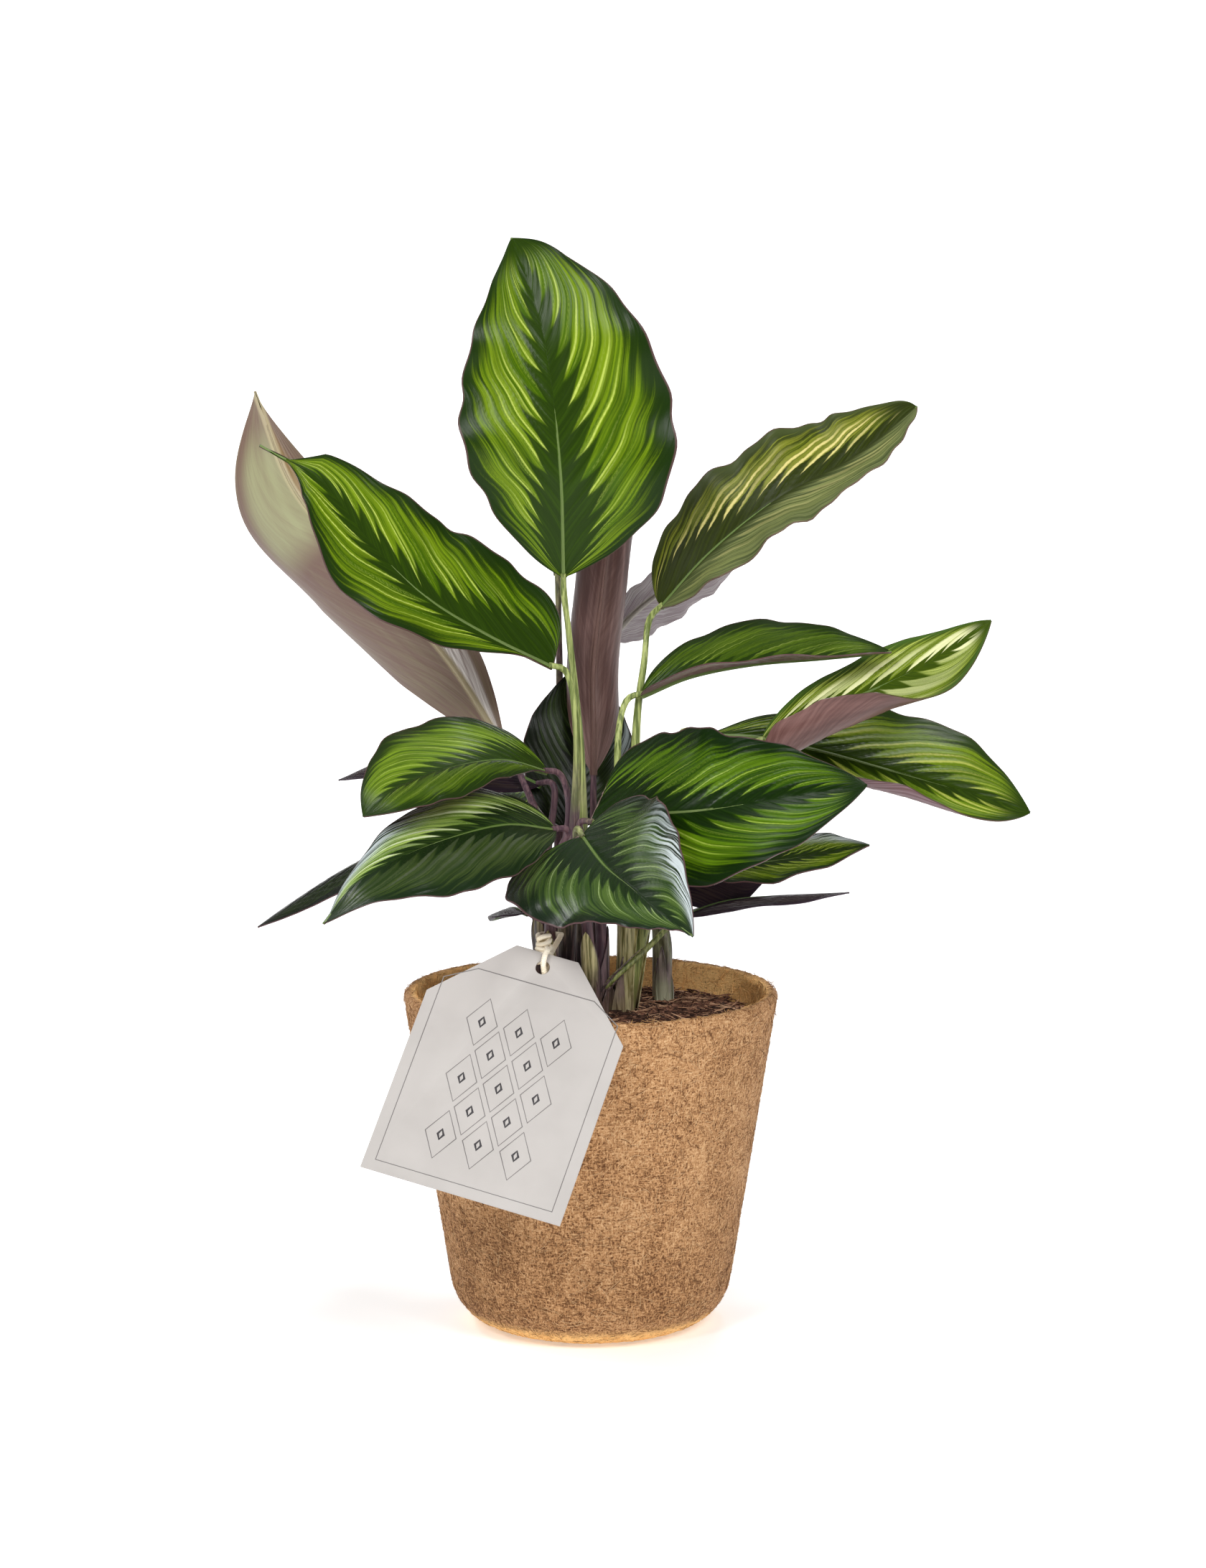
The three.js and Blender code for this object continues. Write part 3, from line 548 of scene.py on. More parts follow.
COIR = GrainFinish("coir_wall", paint(96, 60, 34), paint(180, 134, 90), paint(214, 174, 130), coarse=60.0,
                   felt=1.3, painted_foot_shade=0.07)
COIR_STRAND = GrainFinish("coir_strand", paint(118, 80, 50), paint(180, 136, 92), paint(216, 178, 134),
                          fibre=True, painted_foot_shade=0.07)
SOIL_CRUST = GrainFinish("soil_crust", paint(60, 40, 32), paint(122, 84, 66), paint(174, 130, 104),
                         fine=700.0)
SOIL_STRAND = GrainFinish("soil_strand", paint(62, 42, 34), paint(144, 102, 80), paint(214, 172, 138),
                          fibre=True)
GREEN_STALK = StalkFinish("green_stalk", paint(172, 182, 110), paint(94, 108, 48), paint(122, 92, 98),
                          paint(76, 52, 64), paint(96, 78, 60))
SHEATH_STALK = StalkFinish("sheath_stalk", paint(232, 224, 168), paint(116, 112, 56),
                           paint(124, 102, 106), paint(48, 36, 42), paint(104, 84, 66))
PURPLE_STALK = StalkFinish("purple_stalk", paint(168, 172, 136), paint(108, 112, 84),
                           paint(156, 126, 148), paint(92, 68, 92), paint(188, 190, 164))
CARD = PlainFinish("white_card", paint(190, 185, 181), paint(184, 179, 175))
INK = PlainFinish("grey_ink", paint(142, 138, 136), paint(124, 120, 118), rough=0.7)
DARK_INK = PlainFinish("dark_ink", paint(78, 76, 78), paint(64, 62, 64), rough=0.7)
TWINE_FINISH = PlainFinish("cream_twine", paint(255, 246, 226), paint(238, 222, 190), rough=0.85,
                           grain=1400.0, depth=0.0003)


# Shapes and modelling steps that the sub-assemblies share


def ramp(value: "float | tuple[float, ...]", t: np.ndarray) -> np.ndarray:
    """A number, or numbers spread evenly from base to tip, read at t."""
    stops = np.atleast_1d(np.asarray(value, float))
    return np.interp(t, np.linspace(0, 1, len(stops)), stops)


def unit(vectors: np.ndarray) -> np.ndarray:
    """The same directions at length one."""
    return vectors / np.maximum(np.linalg.norm(vectors, axis=-1, keepdims=True), 1e-9)


class Route:
    """Smooth line through points, followed by its own length."""

    def __init__(self, points: "tuple[Point, ...] | np.ndarray", closed: bool = False) -> None:
        """Samples the line finely.

        Args:
            points: the points that it runs through.
            closed: whether it returns to the first one.
        """
        knots = np.atleast_2d(np.array(points, float))
        if closed:
            padded = np.vstack([knots[-1], knots, knots[0], knots[1]])
        else:
            padded = np.vstack([2 * knots[0] - knots[1], knots, 2 * knots[-1] - knots[-2]])
        share = np.linspace(0, 1, 80, endpoint=False)[:, None]
        spans = []
        for a, b, c, d in zip(padded, padded[1:], padded[2:], padded[3:]):
            leave, arrive = (c - a) / 2, (d - b) / 2
            square = 3 * (c - b) - 2 * leave - arrive
            cube = 2 * (b - c) + leave + arrive
            spans.append(b + leave * share + square * share**2 + cube * share**3)
        self.points = np.vstack([*spans, padded[-2:-1]])
        steps = np.linalg.norm(np.diff(self.points, axis=0), axis=1)
        self.length = float(steps.sum())
        self.shares = np.concatenate([[0.0], np.cumsum(steps)]) / self.length

    def at(self, t: np.ndarray) -> np.ndarray:
        """Points at shares of the length."""
        return np.stack([np.interp(t, self.shares, self.points[:, axis]) for axis in range(3)], axis=-1)

    def along(self, t: np.ndarray) -> np.ndarray:
        """Directions at shares of the length."""
        return unit(self.at(np.clip(t + 0.004, 0, 1)) - self.at(np.clip(t - 0.004, 0, 1)))


def deselect() -> None:
    """Leaves edit mode and selects nothing."""
    if bpy.context.object and bpy.context.object.mode != "OBJECT":
        bpy.ops.object.mode_set(mode="OBJECT")
    bpy.ops.object.select_all(action="DESELECT")


def take(piece: bpy.types.Object) -> None:
    """Selects one piece and makes it active."""
    deselect()
    piece.select_set(True)
    bpy.context.view_layer.objects.active = piece


def named(name: str) -> bpy.types.Object:
    """The primitive just added, with its name."""
    piece = bpy.context.object
    piece.name = name
    piece.data.name = name
    return piece


def apply(piece: bpy.types.Object, kind: str, **settings: object) -> None:
    """Gives a piece a modifier and applies it.

    Args:
        piece: the piece.
        kind: type of the modifier.
        settings: its properties.
    """
    take(piece)
    modifier = piece.modifiers.new(kind.title(), kind)
    for key, value in settings.items():
        setattr(modifier, key, value)
    bpy.ops.object.modifier_apply(modifier=modifier.name)


def smooth(piece: bpy.types.Object, angle: float = 40.0) -> None:
    """Shades a piece smooth except over sharp edges."""
    take(piece)
    bpy.ops.object.shade_smooth_by_angle(angle=math.radians(angle))


def run_lengths(outline: np.ndarray) -> np.ndarray:
    """Length along an outline up to each of its points."""
    return np.concatenate([[0], np.cumsum(np.linalg.norm(np.diff(outline, axis=0), axis=1))])


def spaced(outline: np.ndarray, step: float) -> np.ndarray:
    """The same outline with points at even steps."""
    lengths = run_lengths(outline)
    spots = np.linspace(0, lengths[-1], int(lengths[-1] / step) + 1)
    return np.column_stack([np.interp(spots, lengths, outline[:, k]) for k in (0, 1)])


def face_out(piece: bpy.types.Object, merge: float = 0.0) -> None:
    """Turns all faces of a closed piece outwards, after merging doubles."""
    take(piece)
    bpy.ops.object.mode_set(mode="EDIT")
    bpy.ops.mesh.select_all(action="SELECT")
    if merge:
        bpy.ops.mesh.remove_doubles(threshold=merge)
    bpy.ops.mesh.normals_make_consistent(inside=False)
    bpy.ops.object.mode_set(mode="OBJECT")


def points_of(piece: bpy.types.Object) -> np.ndarray:
    """Corner points of a piece in millimetres."""
    flat = np.zeros(len(piece.data.vertices) * 3)
    piece.data.vertices.foreach_get("co", flat)
    return flat.reshape(-1, 3) / MM


def move_points(piece: bpy.types.Object, points: np.ndarray) -> None:
    """Puts the corner points of a piece at places in millimetres."""
    piece.data.vertices.foreach_set("co", (points * MM).ravel())
    piece.data.update()


def write_trait(piece: bpy.types.Object, name: str, values: np.ndarray) -> None:
    """Stores a number at each corner point, for materials to read."""
    layer = piece.data.attributes.new(name, "FLOAT", "POINT")
    layer.data.foreach_set("value", np.asarray(values, np.float32))


def dress(piece: bpy.types.Object, *materials: bpy.types.Material) -> None:
    """Gives a piece its materials."""
    piece.data.materials.clear()
    for material in materials:
        piece.data.materials.append(material)


def fuse(name: str, pieces: list[bpy.types.Object]) -> bpy.types.Object:
    """Joins pieces into one."""
    take(pieces[0])
    for piece in pieces:
        piece.select_set(True)
    bpy.ops.object.join()
    return named(name)


def hand_over(piece: bpy.types.Object, slot: str, *nodes: str) -> None:
    """Fixes a finished piece in the plant.

    Args:
        piece: the piece.
        slot: material slot of the record; not used.
        nodes: solids that it stands for.
    """
    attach(piece, "root")
    if nodes:
        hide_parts(*nodes)
    log.info("%s: %d faces", piece.name, len(piece.data.polygons))


def tube(name: str, line: np.ndarray, radii: np.ndarray, rounding: int,
         closed: bool = False) -> bpy.types.Object:
    """Round piece along a line.

    Args:
        name: name of the piece.
        line: points in millimetres.
        radii: radius at each point.
        rounding: 0 for four sides, and two more sides for each step.
        closed: whether the ends meet.

    Returns:
        The piece as a mesh with closed ends.
    """
    deselect()
    bpy.ops.curve.primitive_nurbs_path_add()
    piece = named(name)
    curve = piece.data
    curve.splines.clear()
    spline = curve.splines.new("POLY")
    spline.points.add(len(line) - 1)
    spline.points.foreach_set("co", np.column_stack([line * MM, np.ones(len(line))]).ravel())
    spline.points.foreach_set("radius", np.broadcast_to(radii, len(line)) * MM)
    spline.use_cyclic_u = closed
    curve.dimensions = "3D"
    curve.fill_mode = "FULL"
    curve.bevel_depth = 1.0
    curve.bevel_resolution = rounding
    curve.use_fill_caps = not closed
    bpy.ops.object.convert(target="MESH")
    face_out(piece)
    return piece


def sheet(name: str, columns: int, rows: int) -> tuple[bpy.types.Object, np.ndarray, np.ndarray]:
    """Flat grid to be shaped.

    Args:
        name: name of the piece.
        columns: faces from left to right.
        rows: faces from front to back.

    Returns:
        The piece, and for each point its share across (-1 to 1) and along (0 to 1).
    """
    deselect()
    bpy.ops.mesh.primitive_grid_add(x_subdivisions=columns, y_subdivisions=rows, size=2)
    piece = named(name)
    flat = points_of(piece) * MM
    return piece, flat[:, 0], (flat[:, 1] + 1) / 2


def grid_normals(points: np.ndarray, columns: int) -> np.ndarray:
    """Directions square to a shaped grid, upper side first."""
    net = points.reshape(-1, columns + 1, 3)
    across, along = np.gradient(net, axis=1), np.gradient(net, axis=0)
    return unit(np.cross(across, along)).reshape(-1, 3)


def write_uv(piece: bpy.types.Object, u: np.ndarray, v: np.ndarray) -> None:
    """Gives each corner the UV place of its point."""
    layer = piece.data.uv_layers[0] if piece.data.uv_layers else piece.data.uv_layers.new(name="UVMap")
    corners = np.zeros(len(piece.data.loops), np.int32)
    piece.data.loops.foreach_get("vertex_index", corners)
    layer.data.foreach_set("uv", np.column_stack([u, v])[corners].astype(np.float32).ravel())


def scatter(name: str, model: bpy.types.Object, placed: np.ndarray, shade: np.ndarray) -> bpy.types.Object:
    """Fuses many copies of one small modelled piece.

    Args:
        name: name of the fused piece.
        model: the small piece, which is used up.
        placed: points of each copy in millimetres, copies by points by three.
        shade: a number for each copy, kept as the trait "shade".

    Returns:
        The fused piece.
    """
    faces = [tuple(polygon.vertices) for polygon in model.data.polygons]
    count, size = placed.shape[:2]
    sides = np.array([len(face) for face in faces])
    corners = np.concatenate([np.array(face) for face in faces])
    mesh = bpy.data.meshes.new(name)
    mesh.vertices.add(count * size)
    mesh.vertices.foreach_set("co", (placed * MM).astype(np.float32).ravel())
    mesh.loops.add(count * len(corners))
    indices = corners + np.arange(count)[:, None] * size
    mesh.loops.foreach_set("vertex_index", indices.astype(np.int32).ravel())
    starts = np.concatenate([[0], np.cumsum(sides)[:-1]]) + np.arange(count)[:, None] * len(corners)
    mesh.polygons.add(count * len(faces))
    mesh.polygons.foreach_set("loop_start", starts.astype(np.int32).ravel())
    mesh.update(calc_edges=True)
    mesh.validate()
    bpy.data.objects.remove(model)
    piece = bpy.data.objects.new(name, mesh)
    bpy.context.scene.collection.objects.link(piece)
    write_trait(piece, "shade", np.repeat(shade, size))
    smooth(piece, 60)
    return piece


def strand() -> bpy.types.Object:
    """One slim fibre of unit length along X and about unit radius, thin at both ends."""
    deselect()
    bpy.ops.mesh.primitive_cylinder_add(vertices=3, radius=1, depth=1)
    piece = named("strand")
    bpy.ops.object.mode_set(mode="EDIT")
    bpy.ops.mesh.select_all(action="SELECT")
    bpy.ops.transform.rotate(value=math.pi / 2, orient_axis="Y", center_override=(0, 0, 0))
    for place in (-0.17, 0.17):
        bpy.ops.mesh.select_all(action="SELECT")
        bpy.ops.mesh.bisect(plane_co=(place, 0, 0), plane_no=(1, 0, 0))
    bpy.ops.object.mode_set(mode="OBJECT")
    points = points_of(piece) * MM
    points[:, 1:] *= (1.0 - 2.4 * points[:, :1] ** 2)
    move_points(piece, points / MM)
    face_out(piece)
    return piece


def crumb() -> bpy.types.Object:
    """One uneven lump of about unit radius."""
    deselect()
    bpy.ops.mesh.primitive_ico_sphere_add(subdivisions=1, radius=1)
    piece = named("crumb")
    bpy.ops.object.mode_set(mode="EDIT")
    bpy.ops.mesh.select_all(action="SELECT")
    bpy.ops.transform.vertex_random(offset=0.35, seed=4)
    bpy.ops.transform.resize(value=(1.0, 0.75, 0.6))
    bpy.ops.object.mode_set(mode="OBJECT")
    return piece


# Leaves


@dataclass(frozen=True)
class Half:
    """One half of a blade. Fold and curl may change along the blade, as numbers spread from base to tip."""

    width: float
    fold: "float | tuple[float, ...]"  # degrees up from flat at the midrib
    curl: "float | tuple[float, ...]"  # degrees of bend over the width
    widest: float = 0.42
    base_round: float = 0.55
    tip_point: float = 0.85

    def outline(self, t: np.ndarray) -> np.ndarray:
        """Width as a share of the greatest, at t from base to tip."""
        base = np.maximum(0, 1 - (1 - np.minimum(t / self.widest, 1)) ** 2) ** self.base_round
        turn = np.clip((t - self.widest) / (1 - self.widest), 0, 1) * math.pi / 2
        return np.where(t < self.widest, base, np.maximum(0, np.cos(turn)) ** self.tip_point)


@dataclass(frozen=True)
class Wave:
    """Wave of both margins."""

    height: float
    count: float
    frill: float


@dataclass(frozen=True)
class Blade:
    """A patterned blade with its midrib, and the bends of its stalk on the way up from the soil."""

    name: str
    shoot: str
    look: Look
    midrib: tuple[Point, ...]
    face: tuple[Point, Point]  # the way the upper face looks at base and tip
    left: Half
    right: Half
    wave: Wave
    stalk: tuple[Point, ...]
    crinkle: float = 0.0  # fine unevenness of the right margin
    foot: float = 3.3  # radius of its stalk at the soil
    blush: float = 0.0  # how much more mauve its stalk is than the others of the shoot
    drip: float = 0.0  # share of the length that is drawn out into a thin tip

    thickness: ClassVar[float] = 0.5
    base_half: ClassVar[float] = 1.3  # half-width that is left at the base
    tip_half: ClassVar[float] = 0.5  # and at the tip
    relief: ClassVar[float] = 0.28  # height of the side veins
    keel_end: ClassVar[float] = 0.92  # share of the length along which the midrib stands out underneath

    @property
    def rolled(self) -> bool:
        """Whether the blade is still rolled up."""
        return self.look in (Look.PALE_ROLL, Look.MAUVE_ROLL)

    def axes(self, t: np.ndarray) -> tuple[np.ndarray, np.ndarray, np.ndarray]:
        """Midrib points at shares of its length, with the ways along the blade and up from its face."""
        line = Route(self.midrib)
        along = line.along(t)
        up = np.outer(1 - t, self.face[0]) + np.outer(t, self.face[1])
        return line.at(t), along, unit(up - along * np.sum(up * along, axis=1, keepdims=True))

    def place(self, s: np.ndarray, t: np.ndarray) -> tuple[np.ndarray, np.ndarray]:
        """Where the blade's middle surface is.

        Args:
            s: shares from left margin (-1) to right margin (1).
            t: shares from base to tip.

        Returns:
            The points, and how far each is from the midrib.
        """
        points, along, up = self.axes(t)
        rightward = np.cross(along, up)
        distance = np.zeros(len(t))
        for which, half in enumerate((self.left, self.right)):
            part = (s >= 0) == bool(which)
            ts, ss = t[part], s[part]
            phase = 2 * math.pi * (self.wave.count * ts + 0.35 * which)
            scallop = 1 + 0.5 * self.wave.frill * np.sin(2.3 * phase)
            scallop = scallop + 0.004 * np.sin(41 * ts + 3 * which) + 0.003 * np.sin(67 * ts + which)
            stub = self.base_half + (self.tip_half - self.base_half) * ts
            drawn = 1 - np.clip((ts - 1) / max(0.8 * self.drip, 1e-6) + 2, 0, 1) * 0.94
            reach = np.abs(ss) * np.maximum(stub, half.width * scallop * half.outline(ts) * drawn)
            fold = np.radians(ramp(half.fold, ts))
            bend = np.radians(ramp(half.curl, ts)) / half.width
            bend = np.where(np.abs(bend) < 1e-5, 1e-5, bend)
            end = fold + bend * reach
            out = (np.sin(end) - np.sin(fold)) / bend
            rise = (np.cos(fold) - np.cos(end)) / bend
            ripple = self.wave.height * ss**2 * np.sin(phase) * np.sin(math.pi * ts)
            if which:
                fine = np.sin(70 * ts + 6 * ts**2) * np.clip(3 * ts - 0.7, 0, 1)
                ripple = ripple + self.crinkle * ss**4 * fine
            sideways = rightward[part] * (np.sign(ss) * out)[:, None]
            points[part] += sideways + up[part] * (rise + ripple)[:, None]
            distance[part] = reach
        return points, distance

    def build(self, seed: float) -> bpy.types.Object:
        """Models the blade and dresses it.

        Args:
            seed: number from 0 to 1 that sets its own pattern.

        Returns:
            The finished piece.
        """
        length = Route(self.midrib).length
        rows = int(min(96, max(28, length * 0.72)))
        columns = 2 * int(min(28, max(10, 0.36 * (self.left.width + self.right.width))))
        piece, s, share = sheet(self.name, columns, rows)
        t = 0.5 - 0.5 * np.cos(math.pi * share)
        points, reach = self.place(s, t)
        normals = grid_normals(points, columns)
        edge = 1 - np.abs(s) ** 3
        vein = np.sin(2 * math.pi * (FEATHER.phase(t, s, seed) + 0.5)) * np.minimum(1, reach / 5) * edge
        vein = vein * np.sin(math.pi * np.clip(t, 0.02, 0.98)) ** 0.5
        groove = -0.3 * np.exp(-((reach / 1.6) ** 2)) * (1 - t) ** 2
        relief = self.relief * (1 - self.look.value.furled)
        points = points + normals * (0.3 + relief * vein + groove)[:, None]
        move_points(piece, points)
        write_uv(piece, (s + 1) / 2, t)
        write_trait(piece, "reach", reach)
        write_trait(piece, "seed", np.full(len(t), seed))
        dress(piece, self.look.value.upper(), self.look.value.lower())
        apply(piece, "SOLIDIFY", thickness=self.thickness * MM, offset=-1, material_offset=1,
              material_offset_rim=0, use_even_offset=False)
        smooth(piece, 50)
        return fuse(self.name, [piece, self.keel()])

    def keel(self) -> bpy.types.Object:
        """The raised midrib under the blade, which the stalk runs into."""
        t = np.linspace(0, self.keel_end, 28)
        points, _, up = self.axes(t)
        radii = 0.25 + 0.85 * (1 - t / 0.95) ** 0.8
        piece = tube(self.name + "_keel", points - up * (radii * 0.55)[:, None], radii, 1)
        smooth(piece, 80)
        write_trait(piece, "reach", np.zeros(len(piece.data.vertices)))
        write_trait(piece, "seed", np.zeros(len(piece.data.vertices)))
        dress(piece, self.look.value.lower())
        return piece


# Pot and soil

RIM_RADIUS = 70.0


@dataclass
class Pot:
    """Pressed coir pot: a tapered cup with a round foot, a soft lip and loose fibres all over."""

    height: float = 126.5
    rim_radius: float = RIM_RADIUS
    foot_radius: float = 50.0
    corner_radius: float = 20.0
    wall: float = 4.5
    sides: int = 200
    fibres: int = 9500  # pressed into the wall
    fibre_span: tuple[float, float] = (-8, 144)  # where they lie, along the outline from the foot's edge
    loose: int = 420  # standing off the lip
    loose_span: tuple[float, float] = (112, 136)
    seed: int = 11

    def __post_init__(self) -> None:
        """Works out the slope of the wall."""
        self.slope = math.atan2(self.rim_radius - self.foot_radius, self.height)

    def profile(self, inset: float, top: float) -> np.ndarray:
        """Half outline at a depth inside the outer face.

        Args:
            inset: depth from the outer face.
            top: height at which it ends.

        Returns:
            Radius and height of its points, from the axis up.
        """
        rise = (1 - math.sin(self.slope)) / math.cos(self.slope)
        angle = np.linspace(-math.pi / 2, -self.slope, 13)
        reach = self.corner_radius - inset
        corner = np.column_stack([self.foot_radius - self.corner_radius * rise + reach * np.cos(angle),
                                  self.corner_radius + reach * np.sin(angle)])
        end = self.foot_radius + top * math.tan(self.slope) - inset / math.cos(self.slope)
        return np.vstack([[0.0, inset], corner, [end, top]])

    def outline(self) -> np.ndarray:
        """The whole outline: out along the underside, up the wall, over the lip and down inside."""
        base = self.height - self.wall / 2
        outer, inner = self.profile(0, base), self.profile(self.wall, base)
        centre = (outer[-1, 0] + inner[-1, 0]) / 2
        angle = np.radians(np.linspace(15, 165, 11))
        lip = np.column_stack([centre + (outer[-1, 0] - centre) * np.cos(angle),
                               base + self.wall / 2 * np.sin(angle)])
        return np.vstack([outer, lip, inner[::-1]])

    def turned(self, name: str, outline: np.ndarray) -> bpy.types.Object:
        """Spins an outline of radius and height round the axis into a closed piece."""
        deselect()
        bpy.ops.mesh.primitive_circle_add(vertices=len(outline), radius=1)
        piece = named(name)
        move_points(piece, np.column_stack([outline[:, 0], np.zeros(len(outline)), outline[:, 1]]))
        bpy.ops.object.mode_set(mode="EDIT")
        bpy.ops.mesh.select_all(action="SELECT")
        bpy.ops.mesh.spin(steps=self.sides, angle=2 * math.pi, center=(0, 0, 0), axis=(0, 0, 1))
        bpy.ops.object.mode_set(mode="OBJECT")
        face_out(piece, merge=1e-5)
        return piece

    def shell(self) -> bpy.types.Object:
        """The cup itself, its wall left slightly uneven by the press."""
        piece = self.turned("coir_pot", spaced(self.outline(), 2.6))
        clouds = bpy.data.textures.new("pressed_fibre", "CLOUDS")
        clouds.noise_scale = 0.0028
        clouds.noise_depth = 3
        apply(piece, "DISPLACE", texture=clouds, texture_coords="LOCAL", strength=0.0009, mid_level=0.5)
        smooth(piece, 60)
        self.mark_inner(piece)
        dress(piece, COIR.material())
        return piece

    def mark_inner(self, piece: bpy.types.Object) -> None:
        """Stores which points lie on the inner face of the wall, which the material lightens as painted
        light.
        """
        points = points_of(piece)
        middle = self.foot_radius + points[:, 2] * math.tan(self.slope) - self.wall * 0.6
        inward = middle - np.hypot(points[:, 0], points[:, 1])
        write_trait(piece, "inner", np.clip(inward / 1.5, 0, 1))

    def lay(self, name: str, place: np.ndarray, turn: np.ndarray, size: np.ndarray, lift: np.ndarray,
            seed: int) -> bpy.types.Object:
        """Lays fibres on the outer face, the lip and the inner face.

        Args:
            name: name of the piece.
            place: angle round the axis and length along the outline for each fibre.
            turn: its direction on the face.
            size: its length, radius and bow.
            lift: how far its ends stand off the face.
            seed: seed of its shade.

        Returns:
            The fused fibres.
        """
        outline = spaced(self.outline(), 0.5)
        lengths = run_lengths(outline)
        along = unit(np.gradient(outline, axis=0))
        model = strand()
        base = points_of(model) * MM
        x, y, z = base[:, 0], base[:, 1], base[:, 2]
        length, radius, bow = size.T[:, :, None]
        step = x * length
        side = y * radius + bow * (0.25 - x**2) * length
        over = z * radius + lift[:, None] * (0.1 + 3.6 * x**2)
        u = step * np.cos(turn[:, None]) - side * np.sin(turn[:, None])
        v = place[:, 1:] + step * np.sin(turn[:, None]) + side * np.cos(turn[:, None])
        far, high = (np.interp(v, lengths, outline[:, k]) for k in (0, 1))
        lean_out, lean_up = (np.interp(v, lengths, part) for part in (along[:, 1], -along[:, 0]))
        angle = place[:, :1] + u / np.maximum(far, 5)
        far, high = far + over * lean_out, high + over * lean_up
        spots = np.stack([far * np.cos(angle), far * np.sin(angle), high], axis=-1)
        piece = scatter(name, model, spots, np.random.default_rng(seed).random(len(place)))
        self.mark_inner(piece)
        dress(piece, COIR_STRAND.material())
        return piece

    def places(self, chance: np.random.Generator, count: int, span: tuple[float, float]) -> np.ndarray:
        """Random angles round the axis and lengths along the outline."""
        start, stop = self.foot_radius + span[0], self.foot_radius + span[1]
        return np.column_stack([chance.random(count) * 2 * math.pi, chance.uniform(start, stop, count)])

    @staticmethod
    def sizes(chance: np.random.Generator, count: int, length: tuple[float, float],
              radius: tuple[float, float], bow: float) -> np.ndarray:
        """Random lengths and radii between limits, and bows of about a size."""
        return np.column_stack([chance.uniform(*length, count), chance.uniform(*radius, count),
                                chance.normal(0, bow, count)])

    def build(self) -> None:
        """Models the cup and its fibres and hands them over."""
        shell = self.shell()
        chance = np.random.default_rng(self.seed)
        place = self.places(chance, self.fibres, self.fibre_span)
        turn = chance.normal(0, 0.8, self.fibres)
        turn = turn + np.where(chance.random(self.fibres) < 0.25, math.pi / 2, 0)
        size = self.sizes(chance, self.fibres, (2, 6.5), (0.07, 0.14), 0.28)
        lift = chance.uniform(0.05, 0.4, self.fibres)
        wall = self.lay("coir_fibres", place, turn, size, lift, self.seed + 1)
        place = self.places(chance, self.loose, self.loose_span)
        size = self.sizes(chance, self.loose, (3, 8), (0.08, 0.14), 0.4)
        turn = chance.random(self.loose) * math.pi
        lift = chance.uniform(0.5, 1.6, self.loose)
        rim = self.lay("rim_fibres", place, turn, size, lift, self.seed + 2)
        hand_over(shell, "coir", "pot")
        for piece in (wall, rim):
            hand_over(piece, "coir")


